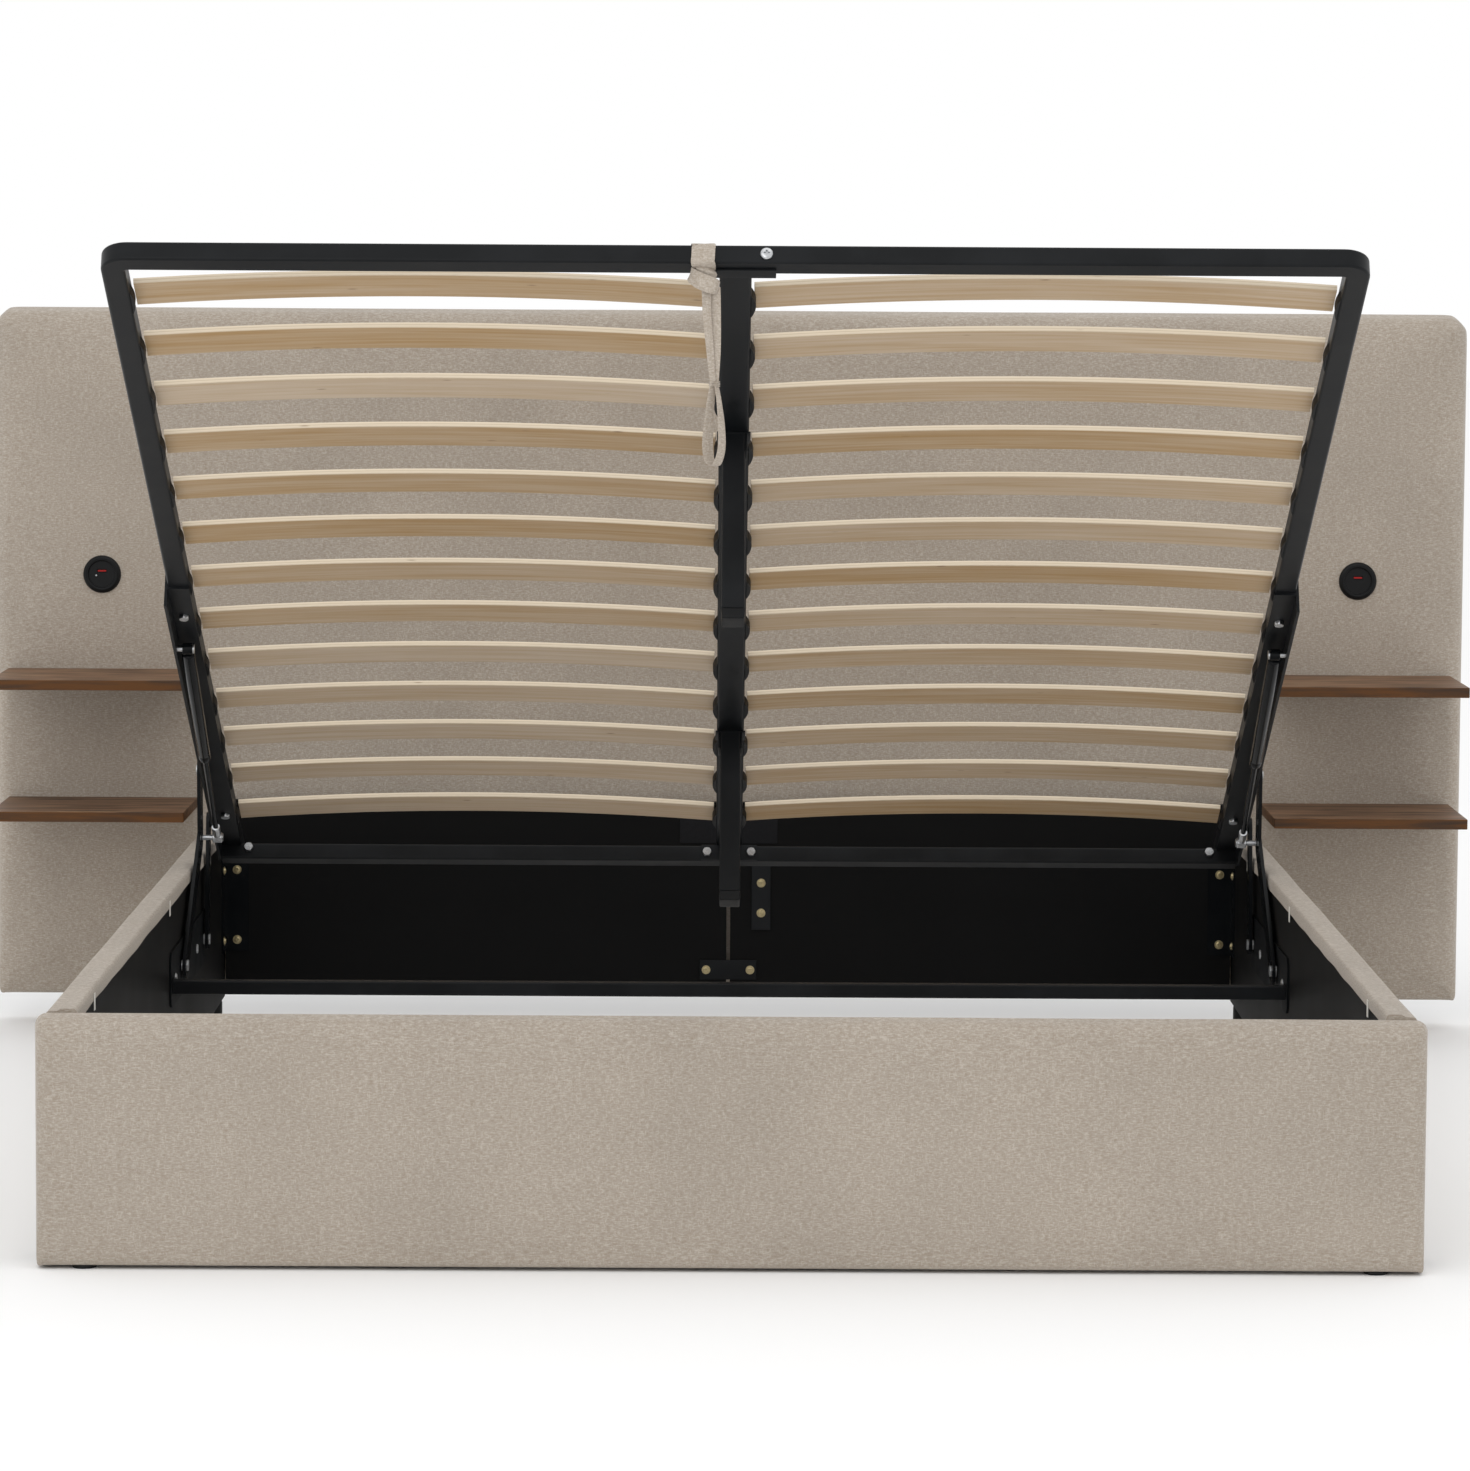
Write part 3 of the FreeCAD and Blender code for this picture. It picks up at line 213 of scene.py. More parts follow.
def box_grid(xs, ys, zs):
    """Closed grid over a box: the lattice points of its six faces, and the cells between them"""
    number = np.arange(len(xs) * len(ys) * len(zs)).reshape(len(xs), len(ys), len(zs))
    cells = []
    for side in (number[0], number[-1], number[:, 0], number[:, -1], number[:, :, 0], number[:, :, -1]):
        cells.append(np.stack((side[:-1, :-1], side[1:, :-1], side[1:, 1:], side[:-1, 1:]), -1).reshape(-1, 4))
    used, cells = np.unique(np.concatenate(cells), return_inverse=True)
    lattice = np.stack(np.meshgrid(xs, ys, zs, indexing="ij"), -1).reshape(-1, 3)
    return lattice[used], cells.reshape(-1, 4)


def soft_block(low, high, radius, step, bend=5, foot=2.0):
    """Box with round edges: each point keeps to the box shrunk by the radius, plus the radius along its way out. A
    way's length is (sum of its parts ^ power) ^ (1 / power): a power of 2 makes a round, and a higher one at the foot
    draws the edges there tight"""
    low, high = np.array(low, float), np.array(high, float)
    radius = min(radius, 0.49 * (high - low).min())
    points, cells = box_grid(*(stations(low[at], high[at], radius, step, bend) for at in range(3)))
    inner = np.clip(points, low + radius, high - radius)
    out = points - inner
    sharp = 2 + (foot - 2) * ease((low[2] + 3 * radius - points[:, 2:]) / (2 * radius))
    return inner + radius * out / (np.abs(out) ** sharp).sum(axis=1, keepdims=True) ** (1 / sharp), cells


def turned(profile, count=24, shape=None):
    """A profile of (radius, height) swept about Z; shape gives a factor on the radius for each angle"""
    turn = np.arange(count) * 2 * np.pi / count
    reach = np.ones(count) if shape is None else shape(turn)
    profile = np.array(profile, float)
    flat = profile[:, None, :1] * np.stack((np.cos(turn) * reach, np.sin(turn) * reach), -1)[None]
    return np.concatenate((flat, np.broadcast_to(profile[:, None, 1:], flat.shape[:2] + (1,))), -1)


def straight_tube(low, high, axis, edge):
    """Rounded tube section carried along one axis between two corners of its box"""
    low, high = np.array(low), np.array(high)
    others = [at for at in range(3) if at != axis]
    path = np.repeat(((low + high) / 2)[None], 4, axis=0)
    path[:, axis] = low[axis], low[axis] + 0.5 * MM, high[axis] - 0.5 * MM, high[axis]
    return loft(carry(rounded_outline(*(high - low)[others], edge), path, *np.eye(3)[others]))


def aim(part, way, centre):
    """A part drawn about Z, turned so that Z runs along a way, and moved to a centre"""
    turn = np.array(Vector((0, 0, 1)).rotation_difference(Vector(way)).to_matrix())
    return part[0] @ turn.T + np.array(centre), part[1]


def raised(points):
    """Points drawn on the flat lift frame (across, towards the head, up), turned to its open place: about X by the
    open angle, then moved to its head end"""
    return np.array(points) @ LIFT_TURN + LIFT_ORIGIN


def flattened(points):
    """The opposite of raised: places on the open lift frame, given on the flat frame"""
    return (points - LIFT_ORIGIN) @ LIFT_TURN.T


def lifted(*parts):
    """Parts drawn on the flat lift frame, as one part on the open frame"""
    points, cells = join(*parts)
    return raised(points), cells


def join(*parts):
    """Several parts as one"""
    start = np.cumsum([0] + [len(points) for points, cells in parts])
    return (np.concatenate([points for points, cells in parts]),
            np.concatenate([cells + first for (points, cells), first in zip(parts, start)]))


def mirrored(part):
    """The same part on the other side of the bed"""
    points, cells = part
    return points * (-1, 1, 1), cells[:, ::-1]


def ripple(first, second, size, seed):
    """Soft unevenness: a mean of sine waves of random lengths and ways, about the given size"""
    pick = np.random.default_rng(seed)
    way = pick.uniform(0, 2 * np.pi, RIPPLE_WAVES)
    wave = 2 * np.pi / (size * pick.uniform(0.6, 1.7, RIPPLE_WAVES))
    phase = pick.uniform(0, 2 * np.pi, RIPPLE_WAVES)
    spot = first[..., None] * np.cos(way) + second[..., None] * np.sin(way)
    return np.sin(spot * wave + phase).mean(-1)


def ease(value):
    """Smooth step from 0 to 1"""
    value = np.clip(value, 0, 1)
    return value * value * (3 - 2 * value)


def unit(ways):
    """Ways of unit length"""
    return ways / np.linalg.norm(ways, axis=1, keepdims=True)


def through(rows, count):
    """Smooth line through rows of numbers: a cubic between each two rows, with slopes from their neighbours"""
    rows = np.array(rows, float)
    slope = np.gradient(rows, axis=0)
    at = np.linspace(0, len(rows) - 1, count)
    first = np.minimum(at.astype(int), len(rows) - 2)
    t = (at - first)[:, None]
    near = (1 + 2 * t) * rows[first] + t * slope[first]
    far = (3 - 2 * t) * rows[first + 1] + (t - 1) * slope[first + 1]
    return (1 - t) ** 2 * near + t ** 2 * far


def swollen(part, held, cap):
    """Cloth pass on a pad: an even pressure pushes its skin out while the held points stay. Each point then keeps
    cap * tanh(move / cap) of its move, so that none goes further than the cap"""
    points, cells = part
    mesh = bpy.data.meshes.new("pad_skin")
    mesh.from_pydata(points, [], cells)
    pad = bpy.data.objects.new("pad_skin", mesh)
    scene = bpy.context.scene
    scene.collection.objects.link(pad)
    pad.vertex_groups.new(name="held").add(np.flatnonzero(held).tolist(), 1.0, "REPLACE")
    cloth = pad.modifiers.new("pressure", "CLOTH")
    cloth.settings.use_pressure = True
    cloth.settings.uniform_pressure_force = PRESSURE
    cloth.settings.vertex_group_mass = "held"
    cloth.settings.effector_weights.gravity = 0.0
    cloth.collision_settings.use_collision = False
    cloth.point_cache.frame_start, cloth.point_cache.frame_end = 1, PRESSURE_STEPS
    for step in range(1, PRESSURE_STEPS + 1):
        scene.frame_set(step)
    moved = np.empty(points.size, np.float32)
    pad.evaluated_get(bpy.context.evaluated_depsgraph_get()).data.vertices.foreach_get("co", moved)
    bpy.data.objects.remove(pad)
    bpy.data.meshes.remove(mesh)
    scene.frame_set(1)
    move = moved.reshape(-1, 3) - points
    far = np.maximum(np.linalg.norm(move, axis=1, keepdims=True), 1e-9)
    if far.max() < LEAST_MOVE:
        raise RuntimeError("the cloth pass moved nothing")
    return points + move / far * cap * np.tanh(far / cap), cells


def corners(node):
    """Low and high corners of a modelled node"""
    return (np.array(corner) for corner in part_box(node))


def modelled_points(node):
    """A modelled node's points"""
    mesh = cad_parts[node].data
    points = np.empty(len(mesh.vertices) * 3, np.float32)
    mesh.vertices.foreach_get("co", points)
    return points.reshape(-1, 3)


def flat_box(node):
    """Low and high corners of a node of the lift frame, given on the flat frame"""
    points = flattened(modelled_points(node).astype(float))
    return points.min(0), points.max(0)


def solids_of(node, reach, flat=False):
    """Low and high corners of a node's separate solids: points nearer to each other than the reach go together"""
    points = np.unique(modelled_points(node).round(5), axis=0).astype(float)
    points = flattened(points) if flat else points
    near = np.linalg.norm(points[:, None] - points[None], axis=-1) < reach
    while True:
        wider = near.astype(np.float32) @ near.astype(np.float32) > 0
        if (wider == near).all():
            break
        near = wider
    return [(points[row].min(0), points[row].max(0)) for row in np.unique(near, axis=0)]


def put(name, part, material, body, replaces=(), attributes=None, subdivide=False):
    """A finished piece from a part: seams and poles closed, faces outward, riding on its body"""
    points, cells = part
    mesh = bpy.data.meshes.new(name)
    mesh.vertices.add(len(points))
    mesh.vertices.foreach_set("co", points.astype(np.float32).ravel())
    mesh.loops.add(cells.size)
    mesh.loops.foreach_set("vertex_index", cells.astype(np.int32).ravel())
    mesh.polygons.add(len(cells))
    mesh.polygons.foreach_set("loop_start", np.arange(0, cells.size, 4, dtype=np.int32))
    for key, values in (attributes or {}).items():
        kind, field = ("FLOAT_VECTOR", "vector") if values.ndim == 2 else ("FLOAT", "value")
        mesh.attributes.new(key, kind, "POINT").data.foreach_set(field, values.astype(np.float32).ravel())
    mesh.update(calc_edges=True)
    welded = bmesh.new()
    welded.from_mesh(mesh)
    bmesh.ops.remove_doubles(welded, verts=welded.verts, dist=WELD)
    bmesh.ops.dissolve_degenerate(welded, edges=welded.edges, dist=SLIVER)
    bmesh.ops.recalc_face_normals(welded, faces=welded.faces)
    welded.to_mesh(mesh)
    welded.free()
    mesh.shade_smooth()
    mesh.set_sharp_from_angle(angle=SHARP_ANGLE)
    mesh.materials.append(material)
    piece = bpy.data.objects.new(name, mesh)
    bpy.context.scene.collection.objects.link(piece)
    if subdivide:
        finer = piece.modifiers.new("finer", "SUBSURF")
        finer.levels = finer.render_levels = 1
    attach(piece, body)
    if replaces:
        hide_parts(*replaces)
    return piece


def paint(material, *names):
    """Gives modelled nodes that keep their own shape a finish"""
    for name in names:
        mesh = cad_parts[name].data
        mesh.materials.clear()
        mesh.materials.append(material)


# Finishes

def fill(tree, item, sockets):
    """Gives a node's sockets, by name or in their order, a value or a link from another node's output"""
    for socket, value in sockets.items() if isinstance(sockets, dict) else enumerate(sockets):
        if isinstance(value, bpy.types.NodeSocket):
            tree.links.new(value, item.inputs[socket])
        else:
            item.inputs[socket].default_value = value


def add_node(tree, kind, sockets=(), out=0, **settings):
    """Adds a shader node with its settings and its filled sockets, and gives back one of its outputs"""
    item = tree.nodes.new("ShaderNode" + kind)
    for name, value in settings.items():
        setattr(item, name, value)
    fill(tree, item, sockets)
    return item.outputs[out]


def start_finish(name, kind="TexCoord", out="Object", **settings):
    """A new material, the call that adds nodes to it, and the output that its patterns are placed by"""
    material = bpy.data.materials.new(name)
    material.use_nodes = True
    add = functools.partial(add_node, material.node_tree)
    return material, add, add(kind, out=out, **settings)


def finish(material, sockets):
    """Fills the shader's own sockets"""
    fill(material.node_tree, material.node_tree.nodes["Principled BSDF"], sockets)
    return material


def tint(name):
    """One of the user's colours by its name, or an sRGB hex value, ready for a socket"""
    return (*(linear(name) if name[0] == "#" else getattr(bpy.context.scene.bed_colours, name)), 1.0)


@functools.cache
def woven_polyester(name="woven_polyester_melange", value=1.0, slub=170):
    """Polyester linen-look upholstery, melange yarns in a plain weave"""
    # Matt cloth with a little fibre sheen: brown and pale yarn flecks lie along the weft, over a soft cross weave
    material, add, place = start_finish(name)
    # Yarn slubs, really under 1 mm thick: drawn 1.7 mm thick and 6 mm long so that they show at this distance
    weft = add("Mapping", {"Vector": place, "Scale": (slub, slub, 590)})
    fleck = add("TexNoise", {"Vector": weft, "Scale": 1.0, "Detail": 3.0, "Roughness": 0.62})
    warp = add("Mapping", {"Vector": place, "Scale": (590, 590, 210)})
    thread = add("TexNoise", {"Vector": warp, "Scale": 1.0, "Detail": 2.0, "Roughness": 0.55})
    # Slow drift of the dye and the nap, a hand's breadth across
    drift = add("TexNoise", {"Vector": place, "Scale": 5.0, "Detail": 2.0})
    cloth = tint("cloth")
    for yarn, start, full, name in (
            (fleck, 0.50, 0.72, "cloth_dark"), (fleck, 0.48, 0.28, "cloth_pale"), (thread, 0.54, 0.82, "cloth_pale")):
        share = add("MapRange", (yarn, start, full))
        cloth = add("Mix", {0: share, 6: cloth, 7: tint(name)}, **COLOURS)
    # value scales the whole cloth's lightness; a copy with value above 1 is painted light
    shade = add("MapRange", (drift, 0.3, 0.7, 0.95 * value, 1.05 * value))
    weave = add("Math", (fleck, thread), operation="ADD")
    return finish(material, {
        "Base Color": add("HueSaturation", {"Color": cloth, "Value": shade}), "Roughness": 0.92,
        "Normal": add("Bump", {"Height": weave, "Strength": 0.35, "Distance": 0.0012}),
        "Sheen Weight": 0.18, "Sheen Roughness": 0.45, "Specular IOR Level": 0.22})


@functools.cache
def coated(name, specular, low, high, dusty):
    """Black coat on steel: highlights broken by a fine orange peel, a little greyer where dust sits"""
    material, add, place = start_finish(name)
    # Orange peel, really under 1 mm: drawn 3 mm across
    peel = add("TexNoise", {"Vector": place, "Scale": 330.0, "Detail": 2.0})
    dust = add("TexNoise", {"Vector": place, "Scale": 9.0, "Detail": 4.0, "Roughness": 0.6})
    film = add("MapRange", (dust, 0.42, 0.75, 0.0, dusty))
    return finish(material, {
        "Base Color": add("Mix", {0: film, 6: tint("steel"), 7: tint("#25272A")}, **COLOURS),
        "Roughness": add("MapRange", (dust, 0.3, 0.7, low, high)),
        "Normal": add("Bump", {"Height": peel, "Strength": 0.12, "Distance": 0.0004}),
        "Specular IOR Level": specular, "IOR": 1.5})


# Steel tube and plate, polyester powder coat baked on: satin black with soft broad highlights
powder_coated_steel = functools.partial(coated, "steel_powder_coated", 0.17, 0.34, 0.48, 0.35)
# Linkage and gas struts, sprayed lacquer: deeper black than the frame, with narrow highlights
lacquered_steel = functools.partial(coated, "steel_lacquered_gloss", 0.12, 0.16, 0.26, 0.1)
# Base brackets, dipped in black paint: matt, so that they stay dark where they are seen edgeways
painted_steel = functools.partial(coated, "steel_dip_painted_matt", 0.05, 0.52, 0.68, 0.1)


@functools.cache
def birch_plywood():
    """Slats of moulded birch plywood, sanded and lightly lacquered"""
    # Beige faces with fine grain and a tone of its own per slat; paler edges with ply lines, and a few small knots
    material, add, place = start_finish("birch_plywood_sanded", "Attribute", "Vector", attribute_name="slat_place")
    tone, rim = (add("Attribute", out="Fac", attribute_name=name) for name in ("slat_tone", "slat_rim"))
    # Grain lines 1 to 3 mm apart, drawn 5 mm apart, running the slat's length
    along = add("Mapping", {"Vector": place, "Scale": (5, 190, 420)})
    grain = add("TexNoise", {"Vector": along, "Scale": 1.0, "Detail": 4.0, "Roughness": 0.6, "Distortion": 0.3})
    # Slow change of the veneer's tone, a hand's breadth along the slat
    patches = add("Mapping", {"Vector": place, "Scale": (4, 45, 45)})
    patch = add("TexNoise", {"Vector": patches, "Scale": 1.0, "Detail": 2.0})
    tone = add("Math", (tone, patch), operation="ADD")
    veneer = add("MapRange", (tone, 0.35, 1.6, 0.0, 0.75))
    depth = add("Math", (add("MapRange", (grain, 0.38, 0.72)), 0.4), operation="MULTIPLY")
    depth = add("Math", (depth, veneer), operation="ADD", use_clamp=True)
    edge = add("MapRange", (rim, 0.935, 0.985))
    # Small dark knots and specks, 3 to 8 mm long, a few on each slat
    spread = add("Mapping", {"Vector": place, "Scale": (8, 34, 60)})
    spots = add("TexVoronoi", {"Vector": spread, "Scale": 1.0, "Randomness": 1.0}, out="Distance")
    knot = add("MapRange", (spots, 0.02, 0.07, 0.6, 0.0))
    # Ply layers 2 mm thick on the edges
    layers = add("Mapping", {"Vector": place, "Scale": (1, 1, 80)})
    plies = add("TexWave", {"Vector": layers, "Scale": 1.0, "Distortion": 0.6, "Detail": 1.0}, out="Fac",
                wave_type="BANDS", bands_direction="Z")
    glue = add("MapRange", (plies, 0.0, 0.25, 0.4, 0.0))
    glue = add("Math", (glue, edge), operation="MULTIPLY")
    wood = tint("birch")
    for share, name in ((depth, "birch_dark"), (edge, "birch_edge"), (knot, "#6B4B2C"), (glue, "#9A7C52")):
        wood = add("Mix", {0: share, 6: wood, 7: tint(name)}, **COLOURS)
    return finish(material, {
        "Base Color": wood, "Roughness": add("MapRange", (grain, 0, 1, 0.45, 0.62)),
        "Normal": add("Bump", {"Height": grain, "Strength": 0.15, "Distance": 0.0006}),
        "Specular IOR Level": 0.35, "Coat Weight": 0.06})


@functools.cache
def oak_laminate():
    """Shelf board, chipboard with a printed rustic oak laminate and an edge band"""
    # Dark brown board with long grain streaks and paler worn patches; the edge band is redder
    material, add, place = start_finish("oak_laminate_embossed")
    # Grain streaks 4 mm wide and 150 mm long, across the bed
    along = add("Mapping", {"Vector": place, "Scale": (7, 90, 90)})
    grain = add("TexNoise", {"Vector": along, "Scale": 1.0, "Detail": 5.0, "Roughness": 0.62, "Distortion": 0.5})
    streak = add("MapRange", (grain, 0.42, 0.66))
    # Worn patches a few centimetres across
    stretch = add("Mapping", {"Vector": place, "Scale": (9, 22, 22)})
    cloud = add("TexNoise", {"Vector": stretch, "Scale": 1.0, "Detail": 3.0})
    worn = add("MapRange", (cloud, 0.5, 0.72, 0.0, 0.55))
    level = add("SeparateXYZ", (add("NewGeometry", out="Normal"),), out=2)
    upright = add("Math", (level,), operation="ABSOLUTE")
    edge = add("MapRange", (upright, 0.5, 0.8, 1.0, 0.0))
    board = tint("shelf")
    for share, name in ((worn, "#9C7D5F"), (edge, "shelf_edge"), (streak, "shelf_dark")):
        board = add("Mix", {0: share, 6: board, 7: tint(name)}, **COLOURS)
    return finish(material, {
        "Base Color": board, "Roughness": add("MapRange", (grain, 0, 1, 0.36, 0.6)),
        "Normal": add("Bump", {"Height": grain, "Strength": 0.25, "Distance": 0.0008}), "Specular IOR Level": 0.25})


@functools.cache
def melamine_board():
    """Chipboard with a black melamine facing, pressed with a fine grain"""
    # Matt black board with a faint pressed grain that catches soft light
    material, add, place = start_finish("melamine_board_pressed")
    # Pressed grain about 2 mm across, drawn 4 mm across and 60 mm long
    along = add("Mapping", {"Vector": place, "Scale": (16, 16, 240)})
    grain = add("TexNoise", {"Vector": along, "Scale": 1.0, "Detail": 3.0})
    wipe = add("TexNoise", {"Vector": place, "Scale": 3.5, "Detail": 3.0})
    return finish(material, {
        "Base Color": add("Mix", {0: wipe, 6: tint("board"), 7: tint("#161616")}, **COLOURS),
        "Roughness": add("MapRange", (wipe, 0, 1, 0.48, 0.68)),
        "Normal": add("Bump", {"Height": grain, "Strength": 0.18, "Distance": 0.0005}), "Specular IOR Level": 0.06})


@functools.cache
def moulded(name, colour_name, low, high):
    """Injection-moulded plastic with a spark-eroded skin: even colour, dull gloss broken by a fine grit"""
    material, add, place = start_finish(name)
    # Grit about 0.3 mm, drawn 1.5 mm across
    grit = add("TexNoise", {"Vector": place, "Scale": 650.0, "Detail": 2.0})
    cloud = add("TexNoise", {"Vector": place, "Scale": 60.0, "Detail": 2.0})
    shade = add("MapRange", (cloud, 0, 1, 0.86, 1.16))
    return finish(material, {
        "Base Color": add("HueSaturation", {"Color": tint(colour_name), "Value": shade}),
        "Roughness": add("MapRange", (cloud, 0, 1, low, high)),
        "Normal": add("Bump", {"Height": grit, "Strength": 0.15, "Distance": 0.0003}),
        "Specular IOR Level": 0.18, "IOR": 1.52})


# Nylon fittings and hem clips, and the polycarbonate tongue of the charging port
black_plastic = functools.partial(moulded, "nylon_moulded_black", "plastic", 0.4, 0.55)
white_plastic = functools.partial(moulded, "nylon_moulded_white", "clip", 0.4, 0.55)
red_plastic = functools.partial(moulded, "polycarbonate_moulded_red", "port", 0.3, 0.4)


@functools.cache
def plated(name, colour_name, low, high):
    """Electroplated steel: a thin bright skin, patchy where the bath passivated it unevenly"""
    material, add, place = start_finish(name)
    # Passivation patches about 3 mm across
    patch = add("TexNoise", {"Vector": place, "Scale": 320.0, "Detail": 3.0, "Roughness": 0.6})
    shade = add("MapRange", (patch, 0.3, 0.7, 0.78, 1.12))
    return finish(material, {
        "Base Color": add("HueSaturation", {"Color": tint(colour_name), "Value": shade}),
        "Roughness": add("MapRange", (patch, 0, 1, low, high)), "Metallic": 1.0})


# Fasteners, bright and yellow
bright_zinc = functools.partial(plated, "steel_zinc_plated", "zinc", 0.22, 0.42)
yellow_zinc = functools.partial(plated, "steel_zinc_yellow_passivated", "yellow_zinc", 0.24, 0.44)


@functools.cache
def pressed_felt():
    """Wool felt, pressed: matt and fibrous"""
    # Dull black with short tangled fibres that break up the light
    material, add, place = start_finish("felt_pressed")
    # Fibre tangles about 3 mm across
    fibre = add("TexNoise", {"Vector": place, "Scale": 380.0, "Detail": 4.0, "Roughness": 0.7, "Distortion": 1.2})
    return finish(material, {
        "Base Color": add("Mix", {0: fibre, 6: tint("felt"), 7: tint("#262628")}, **COLOURS),
        "Normal": add("Bump", {"Height": fibre, "Strength": 0.4, "Distance": 0.0008}),
        "Roughness": 0.95, "Specular IOR Level": 0.05, "Sheen Weight": 0.02})


@functools.cache
def painted_floor():
    """Rolled matt paint: even, with a trace of roller texture about 8 mm across"""
    material, add, place = start_finish("painted_floor_matt")
    roller = add("TexNoise", {"Vector": place, "Scale": 120.0, "Detail": 2.0})
    return finish(material, {
        "Base Color": tint("floor"), "Roughness": 0.9, "Specular IOR Level": 0.1,
        "Normal": add("Bump", {"Height": roller, "Strength": 0.04, "Distance": 0.0005})})


# Pieces

class BED_OT_stage(bpy.types.Operator):
    """Floor, soft white surround, two large lights and the camera"""
    bl_idname = "bed.stage"
    bl_label = "Stage"

    def execute(self, context):
        scene, stage = context.scene, context.scene.bed_stage
        mesh = bpy.data.meshes.new("studio_floor")
        reach, bed_middle = 40, Vector((0, 0.2, 0.5))
        mesh.from_pydata(
            [(-reach, -reach, 0), (reach, -reach, 0), (reach, reach, 0), (-reach, reach, 0)], [], [(0, 1, 2, 3)])
        mesh.materials.append(painted_floor())
        floor = bpy.data.objects.new("studio_floor", mesh)
        scene.collection.objects.link(floor)
        scene.world = bpy.data.worlds.new("studio_surround")
        scene.world.use_nodes = True
        surround = scene.world.node_tree.nodes["Background"].inputs
        surround["Color"].default_value, surround["Strength"].default_value = (1, 1, 1, 1), stage.sky
        for name, strength, spot, size in (
                ("front_light", stage.key, (-1.6, -5.2, 3.6), 3.2),
                ("overhead_light", stage.top, (0.3, -0.6, 4.6), 3.6)):
            light = bpy.data.lights.new(name, "AREA")
            light.energy, light.shape, light.size = strength, "DISK", size
            lamp = bpy.data.objects.new(name, light)
            lamp.location = spot
            lamp.rotation_euler = (bed_middle - Vector(spot)).to_track_quat("-Z", "Y").to_euler()
            scene.collection.objects.link(lamp)
        camera = bpy.data.cameras.new("photo_camera")
        camera.sensor_fit, camera.sensor_width, camera.lens = "HORIZONTAL", 36.0, stage.lens
        camera.clip_end = 200.0
        ahead = Vector((
            math.sin(stage.yaw) * math.cos(stage.pitch), math.cos(stage.yaw) * math.cos(stage.pitch),
            -math.sin(stage.pitch)))
        level = Vector((math.cos(stage.yaw), -math.sin(stage.yaw), 0))
        right = level * math.cos(stage.roll) + level.cross(ahead) * math.sin(stage.roll)
        axes = Matrix((right, right.cross(ahead), -ahead)).transposed()
        eye = bpy.data.objects.new("photo_camera", camera)
        eye.matrix_world = Matrix.Translation(Vector(stage.eye)) @ axes.to_4x4()
        scene.collection.objects.link(eye)
        scene.camera = eye
        scene.view_settings.view_transform = "Standard"
        return {"FINISHED"}


def padded_board(sizes, end, seed):
    """Pad with round edges over a board, tight along its foot. It starts with its face set back by the crown and is
    held along its back; a cloth pass swells it, then it gets soft unevenness, short pulls along its lower edge,
    rounder upper corners, a hem drawn down with an ear at each end, and a back that lies a little below the bare
    board. With u and w the shares of an upper corner's square, (u, w) becomes
    (u * sqrt(1 - w^2 / 2), w * sqrt(1 - u^2 / 2))"""
    edge, crown, corner, hem = (getattr(sizes, end + "_" + key) for key in ("edge", "crown", "corner", "hem"))
    low, high = corners(end + "board_cover")
    middle, half = (low + high) / 2, (high - low) / 2
    points, cells = soft_block(low + (0, crown, 0), high, edge, sizes.pad_step, foot=6.0)
    points, cells = swollen((points, cells), points[:, 1] > middle[1] + 0.2 * half[1], crown)
    share = (points - middle) / half
    # Lengths of the wadding's waves, the pulls and the top's sag, and how far up the pulls fade
    wave, pull, sag, fade = 0.35, 0.06, 0.5, 0.04
    # Width of the ears, how far up the hem draws, and how far the back lies below the board
    ear_wide, hem_tall, back_drop = 12 * MM, 25 * MM, 1.5 * MM
    uneven = ripple(points[:, 0], points[:, 2], wave, seed)
    pulls = ripple(points[:, 0], points[:, 0] * 0, pull, seed + 1) * np.exp(-(points[:, 2] - low[2]) / fade)
    front = ease((middle[1] - points[:, 1]) / half[1] * 2 - 0.4)
    points[:, 1] -= front * (0.6 * MM * uneven + 0.7 * MM * pulls)
    dip = ripple(points[:, 0], points[:, 1] * 0, sag, seed + 2)
    points[:, 2] += 0.6 * MM * dip * ease((share[:, 2] - 0.6) / 0.4)
    inboard = half[0] - np.abs(points[:, 0] - middle[0])
    u = np.clip(1 - inboard / corner, 0, 1)
    w = np.clip(1 - (high[2] - points[:, 2]) / corner, 0, 1)
    points[:, 0] -= np.sign(share[:, 0]) * corner * u * (1 - np.sqrt(1 - w ** 2 / 2))
    points[:, 2] -= corner * w * (1 - np.sqrt(1 - u ** 2 / 2))
    ear = np.exp(-(inboard / ear_wide) ** 2)
    points[:, 2] -= (hem + sizes.ear_drop * ear) * ease(1 - (points[:, 2] - low[2]) / hem_tall)
    board_low, board_high = corners(end + "board_core")
    inside = np.minimum(points - board_low, board_high - points)[:, [0, 2]].min(axis=1)
    behind = points[:, 1] > high[1] - 1 * MM
    points[:, 1] -= back_drop * behind * (inside > 2 * MM)
    cover = put(
        end + "board_pad", (points, cells), woven_polyester(), "base", [end + "board_cover"],
        subdivide=True)
    paint(melamine_board(), end + "board_core")


class BED_OT_footboard(bpy.types.Operator):
    """Padded footboard cover over its board"""
    bl_idname = "bed.footboard"
    bl_label = "Footboard"

    def execute(self, context):
        padded_board(context.scene.bed_sizes, "foot", 11)
        return {"FINISHED"}


class BED_OT_headboard(bpy.types.Operator):
    """Padded headboard cover over its board"""
    bl_idname = "bed.headboard"
    bl_label = "Headboard"

    def execute(self, context):
        padded_board(context.scene.bed_sizes, "head", 23)
        return {"FINISHED"}


